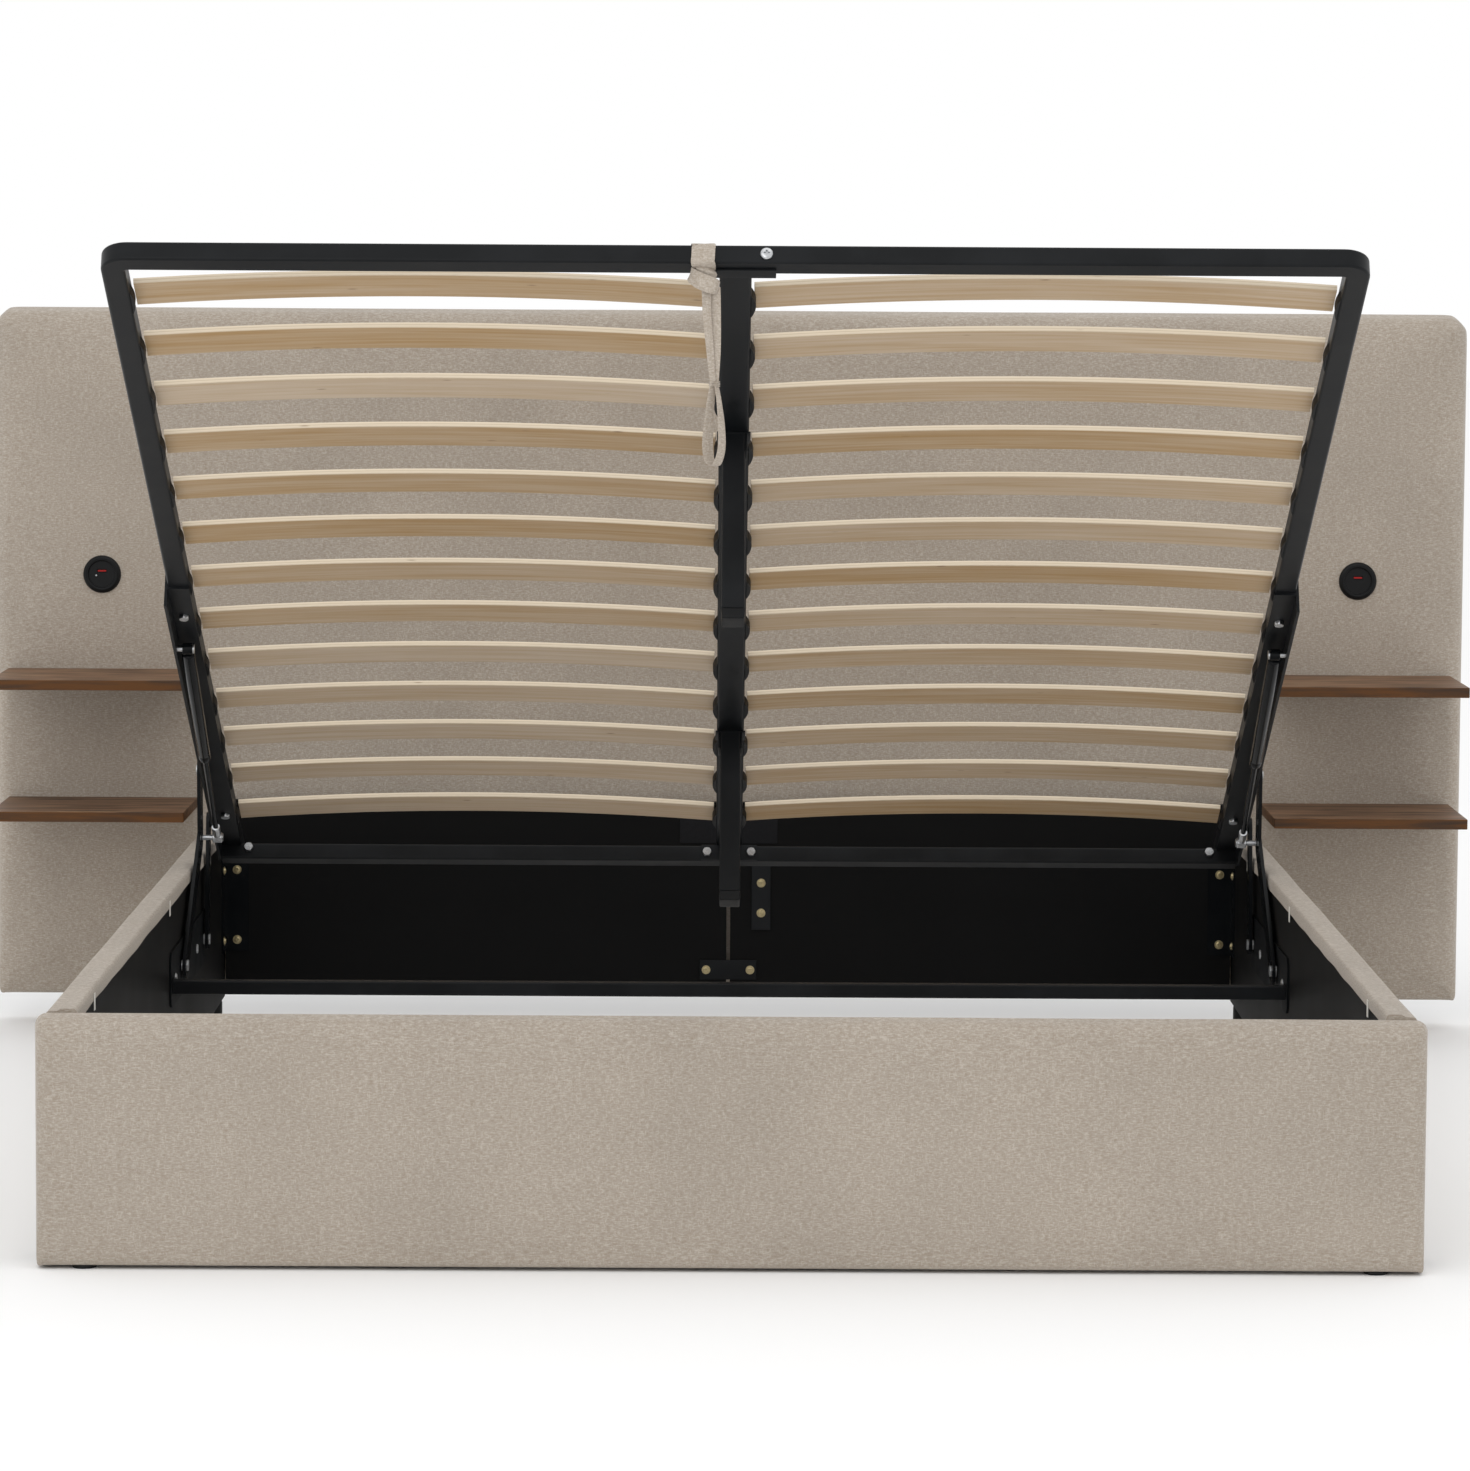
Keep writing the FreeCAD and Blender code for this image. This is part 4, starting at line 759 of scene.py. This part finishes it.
class BED_OT_side_rails(bpy.types.Operator):
    """Padded side-rail covers, folded over the boards to a hem, and the hem's clips"""
    bl_idname = "bed.side_rails"
    bl_label = "Side rails"

    def rail_skin(self, crown, seed):
        """The cover's cross-section (across, up) carried along the rail: outer face, round top, inner hem, then back
        round the board. A cloth pass swells the outer face, then the faces and the hem's edge wander a little"""
        low, high = corners("side_rail_cover_right")
        board_low, board_high = corners("side_rail_core_right")
        hem, round_out, round_in, fold_up = high[2] - 14 * MM, 6 * MM, 5 * MM, 1.2 * MM
        outer = np.linspace(0, 1, 14)[:, None] * (0, high[2] - round_out - low[2]) + (high[0], low[2])
        turn = np.linspace(0, np.pi / 2, 7)[1:]
        top = np.stack((high[0] - round_out * (1 - np.cos(turn)), high[2] - round_out * (1 - np.sin(turn))), -1)
        across = np.linspace(high[0] - round_out, low[0] + round_in, 5)[1:, None] * (1, 0) + (0, high[2])
        inner = np.stack((low[0] + round_in * (1 - np.sin(turn)), high[2] - round_in * (1 - np.cos(turn))), -1)
        fall = np.linspace(high[2] - round_in, hem + fold_up, 5)[1:, None] * (0, 1) + (low[0], 0)
        fold = np.array(((low[0] + 0.5 * MM, hem), (low[0] + 2.4 * MM, hem), (low[0] + 2.9 * MM, hem + fold_up)))
        inside = np.array((
            (board_low[0], board_high[2]), (board_high[0], board_high[2]), (board_high[0], low[2] + 1 * MM),
            (board_high[0] + 1 * MM, low[2]), (high[0] - 1 * MM, low[2])))
        profile = np.concatenate((outer[1:], top, across, inner, fall, fold, inside))
        along = np.linspace(low[1], high[1], 190)
        rings = carry(profile, np.stack((along * 0, along, along * 0), -1), (1, 0, 0), (0, 0, 1))
        held = (rings[..., 0] < board_high[0] + 2 * MM) | (rings[..., 2] < low[2] + 2 * MM)
        rings = swollen(skin(rings), held.ravel(), crown)[0].reshape(rings.shape)
        rings[0, :, 1], rings[-1, :, 1] = low[1], high[1]
        # The face is 2.5 mm fuller and the crest 4 mm higher than modelled, with waves 0.2 to 0.4 m long over them
        spot = rings[..., 1]
        face = ease((rings[..., 0] - board_high[0]) / (high[0] - board_high[0]))
        rings[..., 0] += face * (2.5 * MM + 0.7 * MM * ripple(spot, rings[..., 2], 0.3, seed))
        crest = ease((rings[..., 2] - high[2] + round_out) / round_out)
        rings[..., 2] += crest * (4 * MM + 1.4 * MM * ripple(spot, spot * 0, 0.4, seed + 1))
        skirt = (rings[..., 0] < board_low[0] - 0.05 * MM) & (rings[..., 2] < hem + 8 * MM)
        rings[..., 2] += skirt * (2.5 * MM * ripple(spot, spot * 0, 0.22, seed + 2))
        return loft(rings)

    def execute(self, context):
        for side, seed in (("right", 31), ("left", 47)):
            part = self.rail_skin(context.scene.bed_sizes.rail_crown, seed)
            part = part if side == "right" else mirrored(part)
            cover = put(
                "side_rail_pad_" + side, part, woven_polyester(), "base", ["side_rail_cover_" + side])
        paint(melamine_board(), "side_rail_core_left", "side_rail_core_right")
        clips = [soft_block(*box, 0.45 * MM, 4 * MM, 3) for box in solids_of("hem_clips", 30 * MM)]
        put("rail_hem_clips", join(*clips), white_plastic(), "base", ["hem_clips"])
        return {"FINISHED"}


class BED_OT_shelves(bpy.types.Operator):
    """Finish of the four shelves"""
    bl_idname = "bed.shelves"
    bl_label = "Shelves"

    def execute(self, context):
        paint(oak_laminate(), "shelf_low_left", "shelf_low_right", "shelf_high_left", "shelf_high_right")
        return {"FINISHED"}


class BED_OT_chargers(bpy.types.Operator):
    """Charger discs: a domed ring with a fine groove round each insert, and a pilot light"""
    bl_idname = "bed.chargers"
    bl_label = "Chargers"

    def execute(self, context):
        # (radius, height) from the insert's wall over the crest to the headboard
        ring = turned(np.array((
            (21.1, 0.2), (21.1, 3.6), (21.4, 4.9), (22.2, 5.7), (23.2, 6.0), (24.3, 5.9), (24.6, 5.4), (24.9, 5.4),
            (25.2, 5.7), (26.4, 5.2), (27.8, 4.2), (28.9, 2.9), (29.6, 1.5), (29.9, 0.2))) * MM, 72)
        part = join(skin(ring), skin(ring[[-1, 0]]))
        for side in ("left", "right"):
            low, high = corners("charger_bezel_" + side)
            centre = ((low[0] + high[0]) / 2, high[1], (low[2] + high[2]) / 2)
            put("charger_ring_" + side, aim(part, (0, -1, 0), centre), black_plastic(), "base",
                ["charger_bezel_" + side])
        paint(black_plastic(), "charger_insert_left", "charger_insert_right")
        paint(red_plastic(), "charger_tongues")
        # Pilot light, beside and a little below the middle of the left insert
        low, high = corners("charger_insert_left")
        centre = ((low[0] + high[0]) / 2 - 9 * MM, low[1], (low[2] + high[2]) / 2 - 2 * MM)
        dome = loft(turned(np.array(((1.6, -0.4), (1.6, 0.2), (1.3, 0.6), (0.7, 0.85), (0.0, 0.95))) * MM, 16))
        put("charger_pilot_light", aim(dome, (0, -1, 0), centre), bright_zinc(), "base")
        return {"FINISHED"}


class BED_OT_head_panel(bpy.types.Operator):
    """Head-end panel's finish, its plates with soft edges and its felt pad"""
    bl_idname = "bed.head_panel"
    bl_label = "Head panel"

    def execute(self, context):
        edge = context.scene.bed_sizes.plate_edge
        paint(melamine_board(), "head_panel_left", "head_panel_right")
        for name, node in (
                ("panel_joining_plate", "head_joining_plate"), ("panel_strap_plate", "head_strap_bracket")):
            part = soft_block(*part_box(node), edge, 30 * MM, 4)
            put(name, part, powder_coated_steel(), "base", [node])
        put("panel_felt_pad", soft_block(*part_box("head_panel_pad"), 0.8 * MM, 20 * MM, 4), pressed_felt(), "base",
            ["head_panel_pad"])
        paint(lacquered_steel(), "corner_angle_left", "corner_angle_right")
        return {"FINISHED"}


class BED_OT_lift_tubes(bpy.types.Operator):
    """Lift frame's tubes: a bent foot tube, two side tubes, the centre beam and the head tube"""
    bl_idname = "bed.lift_tubes"
    bl_label = "Lift tubes"

    def foot_tube(self, edge):
        """Rounded section carried along a line that crosses at the foot and turns back through quarter circles"""
        low, high = flat_box("foot_tube")
        wide, bend = FOOT_TUBE_WIDE, FOOT_TUBE_BEND
        reach, front, back = high[0] - wide / 2, low[1] + wide / 2, high[1]
        turn = np.linspace(0, np.pi / 2, 13)
        arc = np.stack((reach - bend + bend * np.cos(turn), front + bend - bend * np.sin(turn)), -1)
        near = np.concatenate((((reach, back),), arc, ((reach - bend - 2 * MM, front),)))
        out = np.concatenate((((1.0, 0.0),), np.stack((np.cos(turn), -np.sin(turn)), -1), ((0.0, -1.0),)))
        line, out = (np.concatenate((half, (half * (-1, 1))[::-1])) for half in (near, out))
        level = np.full((len(line), 1), (low[2] + high[2]) / 2)
        path = np.concatenate((line, level), axis=1)
        across = np.concatenate((out, level * 0), axis=1)
        return loft(carry(rounded_outline(wide, high[2] - low[2], edge), path, across, (0, 0, 1)))

    def execute(self, context):
        sizes = context.scene.bed_sizes
        parts = [("lift_foot_tube", "foot_tube", self.foot_tube(sizes.tube_edge))]
        for name, node, axis in (
                ("lift_side_tube_left", "side_tube_left", 1), ("lift_side_tube_right", "side_tube_right", 1),
                ("lift_head_tube", "head_tube", 0), ("lift_centre_beam", "centre_beam", 1)):
            parts.append((name, node, straight_tube(*flat_box(node), axis, sizes.tube_edge)))
        for name, node in (("lift_beam_tab", "beam_tab_plate"), ("lift_head_plate", "head_centre_plate")):
            parts.append((name, node, soft_block(*flat_box(node), sizes.plate_edge, 20 * MM, 4)))
        for name, node, part in parts:
            put(name, lifted(part), powder_coated_steel(), "lift_frame", [node])
        paint(powder_coated_steel(), "lift_angle_left", "lift_angle_right")
        return {"FINISHED"}


class BED_OT_slats(bpy.types.Operator):
    """Two columns of bowed plywood slats, and the holders at their ends"""
    bl_idname = "bed.slats"
    bl_label = "Slats"

    def column(self, sizes, near, far, palest, seed):
        """Slat section with round edges carried along an arc: the arc's rise is bow * (1 - share of half length ^ 2).
        Each slat keeps its own place along, across and up for the grain, its own tone, and its share of half width"""
        pick = np.random.default_rng(seed)
        share = np.linspace(-1, 1, 25)
        outline = rounded_outline(sizes.slat_wide, sizes.slat_thick, sizes.slat_edge, 4)
        rise = sizes.slat_bow * (1 - share ** 2) + SLAT_SEAT + sizes.slat_thick / 2
        parts, grain, tone, rim = [], [], [], []
        for spot in SLAT_PLACES:
            path = np.stack(((near + far) / 2 + (far - near) / 2 * share, np.full(len(share), spot), rise), -1)
            slope = unit(np.stack((-np.gradient(rise, path[:, 0]), share * 0, share * 0 + 1), -1))
            parts.append(loft(carry(outline, path, (0, 1, 0), slope)))
            local = loft(carry(outline, path * (1, 0, 0), (0, 1, 0), (0, 0, 1)))[0]
            rim.append(np.abs(local[:, 1]) * 2 / sizes.slat_wide)
            grain.append(local + pick.uniform(-40, 40, 3) * (1, 1, 0))
            tone.append(np.full(len(local), pick.uniform(palest, 1)))
        names = (("slat_place", grain), ("slat_tone", tone), ("slat_rim", rim))
        return lifted(*parts), {name: np.concatenate(values) for name, values in names}

    def cup(self, wide, reach, low, high):
        """Holder with an arched front: reach * (1 - share of half width ^ 2) off its seat, with its rim drawn in"""
        share = np.linspace(-1, 1, 17)
        front = np.stack((reach * (1 - share ** 2), share * wide / 2), -1)
        back = np.stack((share * 0, share * wide / 2), -1)[::-1]
        inset = np.array((0.93, 1.0, 1.0, 0.93))
        rings = np.concatenate((front, back))[None] * np.stack((inset, inset ** 0.2), -1)[:, None]
        level = np.array((low, low + 1 * MM, high - 1 * MM, high))
        return loft(np.concatenate((rings, np.broadcast_to(level[:, None, None], rings.shape[:2] + (1,))), -1))

    def execute(self, context):
        sizes = context.scene.bed_sizes
        for side, near, far, palest, seed in (
                ("right", SLAT_INNER_END, SLAT_OUTER_END, 0.35, 5),
                ("left", -SLAT_OUTER_END, -SLAT_INNER_END, 0.0, 9)):
            part, attributes = self.column(sizes, near, far, palest, seed)
            put("slat_column_" + side, part, birch_plywood(), "lift_frame", ["slats_" + side],
                attributes)
        # Holders on the beam's sides face outwards, and those on the side tubes face inwards
        for name, node, reach, seat in (
                ("beam_slat_cups", "beam_holders", 6 * MM, 20 * MM),
                ("side_slat_cups", "side_holders", -4.2 * MM, None)):
            low, high = flat_box(node)
            points, cells = self.cup(sizes.slat_wide, reach, low[2], high[2])
            cups = [(points + (seat or high[0], spot, 0), cells) for spot in SLAT_PLACES]
            part = lifted(*cups, *(mirrored(one) for one in cups))
            put(name, part, black_plastic(), "lift_frame", [node])
        return {"FINISHED"}


class BED_OT_centre_legs(bpy.types.Operator):
    """Centre legs: square tubes with a plate, ears and an end cap"""
    bl_idname = "bed.centre_legs"
    bl_label = "Centre legs"

    def execute(self, context):
        edge = context.scene.bed_sizes.plate_edge
        half, cap_half, plate_half = 15 * MM, 15.5 * MM, 22 * MM
        caps = []
        for end, spot in LEG_PLACES:
            near, far = spot - half, spot + half
            tube = straight_tube((-half, near, LEG_FOOT), (half, far, LEG_PLATE), 2, 2.5 * MM)
            plate = soft_block((-plate_half, near, LEG_PLATE), (plate_half, far, -0.02 * MM), edge, half, 3)
            ear = soft_block((half, near, -28 * MM), (half + 3 * MM, far, LEG_PLATE), edge, half, 3)
            put("lift_leg_" + end, lifted(tube, plate, ear, mirrored(ear)), powder_coated_steel(), "lift_frame",
                ["centre_leg_" + end])
            # End cap, drawn in a little towards its foot
            points, cells = soft_block(
                (-cap_half, spot - cap_half, LEG_CAP_FOOT), (cap_half, spot + cap_half, LEG_FOOT),
                2.2 * MM, 10 * MM, 4)
            points[:, 0] *= 0.95 + 0.05 * ease((points[:, 2] - LEG_CAP_FOOT) / (LEG_FOOT - LEG_CAP_FOOT))
            caps.append((points, cells))
        put("lift_leg_caps", lifted(*caps), black_plastic(), "lift_frame", ["leg_caps"])
        return {"FINISHED"}


class BED_OT_linkage(bpy.types.Operator):
    """Arms, links and brackets of the lift, and the cross-bar between the rails"""
    bl_idname = "bed.linkage"
    bl_label = "Linkage"

    def execute(self, context):
        paint(lacquered_steel(), "front_arm_left", "front_arm_right", "rear_link_left", "rear_link_right")
        paint(painted_steel(), "base_bracket_left", "base_bracket_right")
        part = straight_tube(*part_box("base_crossbar"), 0, 2.2 * MM)
        put("linkage_crossbar", part, powder_coated_steel(), "base", ["base_crossbar"])
        paint(bright_zinc(), "base_pivot_pins", "lift_pins")
        return {"FINISHED"}


class BED_OT_struts(bpy.types.Operator):
    """Gas struts: a barrel with a crimped end and an eye, a dark rod, and the bright eye and stud at its end"""
    bl_idname = "bed.struts"
    bl_label = "Struts"

    def execute(self, context):
        top, foot = raised((STRUT_TOP, STRUT_FOOT))
        reach = float(np.linalg.norm(foot - top))
        way = (foot - top) / reach
        # (radius, distance from the upper pivot) of the barrel: neck, shoulder, wall, crimp and rod gland
        barrel = loft(turned(np.array((
            (3.6, 4), (3.6, 12), (6.5, 12.5), (8.4, 14), (9, 17), (9, 296), (8.5, 298), (8.5, 301), (9, 303),
            (9, 311), (8.2, 314), (6.8, 315), (4.3, 315), (4.2, 308))) * MM, 32))
        rod = loft(turned(((3.2 * MM, 255 * MM), (4.0 * MM, 256 * MM), (4.0 * MM, reach - 6 * MM)), 28))
        collar = loft(turned(
            np.array(((4.2, -34), (6.0, -33), (6.2, -20), (5.6, -8), (5.0, -5))) * MM + (0, reach), 28))
        # Eye: a closed profile swept about its pivot. Stud: a head, then a shank out to the arm
        eye = skin(turned(
            np.array(((4.2, -7), (7.2, -7), (8, -6.2), (8, 6.2), (7.2, 7), (4.2, 7), (4.2, -7))) * MM, 28))
        stud = loft(turned(np.array((
            (0.5, -9), (5.6, -9), (6.4, -8.4), (6.4, -7.3), (4, -7.2), (4, 22), (0.5, 22.4))) * MM, 24))
        for side, sign in (("right", 1), ("left", -1)):
            start, end = top + (STRUT_REACH * sign, 0, 0), foot + (STRUT_REACH * sign, 0, 0)
            upper = join(aim(barrel, way, start), aim(eye, (1, 0, 0), start))
            put("strut_barrel_" + side, upper, lacquered_steel(), "strut_cylinders", ["strut_cylinder_" + side])
            put("strut_piston_" + side, aim(rod, way, start), lacquered_steel(), "strut_rods", ["strut_rod_" + side])
            lower = join(aim(collar, way, start), aim(eye, (1, 0, 0), end), aim(stud, (sign, 0, 0), end))
            put("strut_stud_" + side, lower, bright_zinc(), "strut_rods")
        return {"FINISHED"}


class BED_OT_fasteners(bpy.types.Operator):
    """Bolt heads, nuts and screws, each on the place of its modelled solid"""
    bl_idname = "bed.fasteners"
    bl_label = "Fasteners"

    def recessed(self, radius, tall, rows, recess, lobes, depth):
        """Head of (share of radius, height) rows, with a recess of radius * (1 + depth * cos(lobes * angle))"""
        outer = turned([(share * radius, height) for share, height in rows], 36)
        inner = turned([(share * radius, height * tall) for share, height in recess], 36,
                       lambda turn: 1 + depth * np.cos(lobes * turn))
        return loft(np.concatenate((outer, inner)))

    def socket_bolt(self, radius, tall):
        """Domed bolt head on a washer, with a six-lobed recess"""
        rows = ((1.4, 0), (1.4, 0.5 * MM), (1.35, 0.8 * MM), (1, 0.8 * MM), (1, 0.45 * tall), (0.92, 0.8 * tall),
                (0.7, tall))
        return self.recessed(radius, tall, rows, ((0.45, 1), (0.42, 0.4)), 6, 0.12)

    def pan_screw(self, radius, tall):
        """Pan-head screw: a low dome with a cross recess"""
        rows = ((1, 0), (1, 0.35 * tall), (0.93, 0.68 * tall), (0.75, 0.9 * tall), (0.52, tall))
        return self.recessed(radius, tall, rows, ((0.38, 1), (0.3, 0.35)), 4, 0.35)

    def hex_bolt(self, radius, tall):
        """Hexagon head: a hexagon of radius cos 30 / cos(angle from its side's middle) swept up, with its top corners
        turned off to a round"""
        sides = turned(((radius, 0), (radius, 0.72 * tall)), 36, lambda turn: (
            math.cos(math.pi / 6) / np.cos(np.mod(turn, np.pi / 3) - np.pi / 6)))
        return loft(np.concatenate((sides, turned(((radius * 0.84, tall),), 36))))

    def frame_bolt(self, radius, tall):
        """Heads on the lift frame: low ones are pan screws, and tall ones hexagons"""
        return (self.pan_screw if tall < 4 * MM else self.hex_bolt)(radius, tall)

    def seated(self, node, make, flat=False):
        """One head for each solid of a node, along the solid's shortest side. Heads on the head panel face the foot
        end, those on the rails the bed's middle, and those on the flat lift frame the foot end or the floor"""
        heads = []
        for low, high in solids_of(node, 12 * MM, flat):
            size = high - low
            axis = int(np.argmin(size))
            tall = size[axis]
            radius = size.max() / 2 if flat else (size.sum() - tall) / 4
            way = np.eye(3)[axis] * (-1 if flat or axis == 1 or low[0] > 0 else 1)
            heads.append(aim(make(radius, tall), way, (low + high) / 2 - way * tall / 2))
        return heads

    def execute(self, context):
        heads = self.seated("panel_bolts", self.socket_bolt)
        put("panel_bolt_heads", join(*heads), yellow_zinc(), "base", ["panel_bolts"])
        heads = self.seated("bracket_bolts", self.hex_bolt)
        put("bracket_bolt_heads", join(*heads), bright_zinc(), "base", ["bracket_bolts"])
        heads = self.seated("frame_bolts", self.frame_bolt, True)
        put("lift_bolt_heads", lifted(*heads), bright_zinc(), "lift_frame", ["frame_bolts"])
        return {"FINISHED"}


class BED_OT_feet(bpy.types.Operator):
    """Round feet under the rails and glides under the footboard"""
    bl_idname = "bed.feet"
    bl_label = "Feet"

    def execute(self, context):
        for name, node in (("rail_round_feet", "rail_feet"), ("footboard_glides", "foot_glides")):
            parts = []
            for low, high in solids_of(node, 50 * MM):
                radius, tall = (high - low)[0] / 2, (high - low)[2]
                lip = min(2 * MM, tall / 3)
                points, cells = loft(turned((
                    (radius - lip, 0), (radius - 0.3 * lip, 0.3 * lip), (radius, lip), (radius, tall - lip),
                    (radius - 0.4 * lip, tall)), 36))
                parts.append((points + ((low[0] + high[0]) / 2, (low[1] + high[1]) / 2, low[2]), cells))
            put(name, join(*parts), black_plastic(), "base", [node])
        return {"FINISHED"}


# Pull strap, in mm from the foot tube's underside. Rows of the wrap: across, along, up, width
WRAP = (
    (-9, 6, -1, 14), (-15, -3, -6, 17), (-6, -11, -13, 20), (6, -13, -18, 21), (15, -10, -21, 19), (18, -2, -23, 16),
    (13, 5, -24, 13))
# Rows of each strand: across, along, up, width, turn of the cloth; then how many sections it gets
STRANDS = (
    (((4, -6, -22, 12, 0.15), (5, -6, -55, 11, 0.25), (9, -5, -100, 10, 0.35), (13, -3, -142, 8, 0.45)), 30),
    (((14, -2, -22, 15, -0.25), (15.5, -1, -55, 14, -0.35), (16.5, -1, -100, 12, -0.4), (16, 0, -142, 8, -0.5)), 30),
    (((13, -2, -139, 8, 0.45), (10, 1, -163, 11, 0.5), (8, 4, -190, 14, 0.5), (6.5, 6, -216, 15.5, 0.5),
      (9, 4, -235, 15.5, 0.6), (17, -4, -241, 15.5, 0.75), (23.5, -9, -222, 15, 0.85), (23.5, -9, -193, 14, 0.9),
      (20.5, -5, -163, 11, 0.95), (16.5, -1, -139, 8, 0.9)), 90))


class BED_OT_pull_strap(bpy.types.Operator):
    """Fabric pull strap: a band round the foot tube, a knot, a double tail, a tie and an open loop"""
    bl_idname = "bed.pull_strap"
    bl_label = "Pull strap"

    def ribbon(self, path, across, wide, thick):
        """Flat section with rolled edges carried along a path; its face lies square to the path and the across way"""
        along = unit(np.gradient(path, axis=0))
        across = np.broadcast_to(across, path.shape)
        across = unit(across - (across * along).sum(1, keepdims=True) * along)
        outline = rounded_outline(1.0, 1.0, 0.48, 4, 0.0)
        profile = outline * np.stack((wide, np.full(len(path), thick)), -1)[:, None]
        # Sewn edges stand a little thicker than the middle
        rim = np.abs(outline[:, 0]) * 2
        profile[..., 1] *= 0.8 + 0.45 * np.exp(-((rim - 0.78) / 0.12) ** 2)
        return carry(profile, path, across, np.cross(along, across))

    def execute(self, context):
        thick = context.scene.bed_sizes.strap_thick
        low, high = corners("pull_strap")
        middle = (low[0] + high[0]) / 2
        # Band: a ring of ribbon round the tube's section
        gap = 0.5 * MM + thick / 2
        ring = rounded_outline(FOOT_TUBE_WIDE + 2 * gap, FOOT_TUBE_TALL + 2 * gap, 4 * MM, 5, 3 * MM)
        path = np.concatenate((ring, ring[:2]))
        path = np.stack((0.8 * MM * np.sin(np.arange(len(path)) * 0.7), path[:, 0], path[:, 1]), -1)
        path += (middle, -LIFT_LENGTH + FOOT_TUBE_WIDE / 2, FOOT_TUBE_TALL / 2)
        band = lifted(skin(self.ribbon(path, (1.0, 0, 0), np.full(len(path), 29 * MM), thick)[:-1]))
        hang = raised((middle, -LIFT_LENGTH + FOOT_TUBE_WIDE / 2, -gap))
        # Knot: an oval carried down and to the right, wide at its top and narrow at its foot, with slanting folds
        down = np.linspace(0, 1, 31)[:, None]
        around = np.arange(48) * 2 * np.pi / 48
        fold = 1.1 * MM * np.sin(5.2 * np.pi * (down - 0.16 * np.cos(around)))
        full = np.sin(np.pi * (0.14 + 0.72 * down)) ** 0.5
        flare = (16 * MM - 5.5 * MM * ease(down * 1.2)) * full
        girth = np.stack((flare + fold, (9.5 * MM - 3 * MM * down) * full + fold), -1)
        circle = np.stack((np.cos(around), np.sin(around)), -1)
        oval = circle * girth + (9 * MM * down)[..., None] * (1, 0)
        depth = np.broadcast_to((3 * MM - 33 * MM * down)[..., None], oval.shape[:2] + (1,))
        knot = loft(np.concatenate((oval, depth), -1) + hang)
        # Wrap: the cloth crosses the knot from its upper left to its lower right, wider where it starts
        line = through(WRAP, 40) * MM
        wrap = loft(self.ribbon(line[:, :3] + hang, (0.3, 0.1, 0.95), line[:, 3], 1.6 * thick))
        strands = []
        for rows, count in STRANDS:
            line = through(rows, count)
            turn = line[:, 4]
            across = np.stack((np.cos(turn), np.sin(turn), 0 * turn), -1)
            strands.append(loft(self.ribbon(line[:, :3] * MM + hang, across, line[:, 3] * MM, thick)))
        # The strap's cloth is the upholstery cloth painted 1.16 times lighter: painted light, standing in for the
        # front light that falls on the strap
        cloth = woven_polyester("woven_polyester_strap", 1.16, 240)
        strap = put("pull_strap_cloth", join(band, knot, wrap, *strands), cloth, "lift_frame", ["pull_strap"])
        # Tie: three turns of thread round the strands
        turns = np.linspace(0, 6 * np.pi, 91)
        path = np.stack((14.5 * MM + 6.4 * MM * np.cos(turns), 4.6 * MM * np.sin(turns) - 1 * MM,
                         -138 * MM - 0.3 * MM * turns), -1)
        along = unit(np.gradient(path, axis=0))
        up = np.cross(along, np.cross((0.0, 0, 1), along))
        tie = loft(carry(circle[::4] * 0.7 * MM, path + hang, np.cross(along, up), up))
        tie = put("pull_strap_tie", tie, cloth, "lift_frame")
        return {"FINISHED"}


STEPS = (
    BED_OT_stage, BED_OT_footboard, BED_OT_headboard, BED_OT_side_rails, BED_OT_shelves, BED_OT_chargers,
    BED_OT_head_panel, BED_OT_lift_tubes, BED_OT_slats, BED_OT_centre_legs, BED_OT_linkage, BED_OT_struts,
    BED_OT_fasteners, BED_OT_feet, BED_OT_pull_strap)


class BED_PT_pieces(bpy.types.Panel):
    """Lists the bed's pieces, sizes and colours"""
    bl_idname = "BED_PT_pieces"
    bl_label = "Ottoman Bed"
    bl_space_type = "VIEW_3D"
    bl_region_type = "UI"
    bl_category = "Bed"

    def draw(self, context):
        for step in STEPS:
            self.layout.operator(step.bl_idname)
        for group in (context.scene.bed_sizes, context.scene.bed_colours, context.scene.bed_stage):
            box = self.layout.box()
            for name in group.__annotations__:
                box.prop(group, name)


CLASSES = (BedSizes, BedColours, BedStage) + STEPS + (BED_PT_pieces,)


def register():
    for kind in CLASSES:
        bpy.utils.register_class(kind)
    bpy.types.Scene.bed_sizes = PointerProperty(type=BedSizes)
    bpy.types.Scene.bed_colours = PointerProperty(type=BedColours)
    bpy.types.Scene.bed_stage = PointerProperty(type=BedStage)


def unregister():
    del bpy.types.Scene.bed_stage
    del bpy.types.Scene.bed_colours
    del bpy.types.Scene.bed_sizes
    for kind in reversed(CLASSES):
        bpy.utils.unregister_class(kind)


def main():
    """Builds every piece in order"""
    register()
    for step in STEPS:
        getattr(bpy.ops.bed, step.bl_idname.split(".")[1])()


if __name__ == "__main__":
    main()
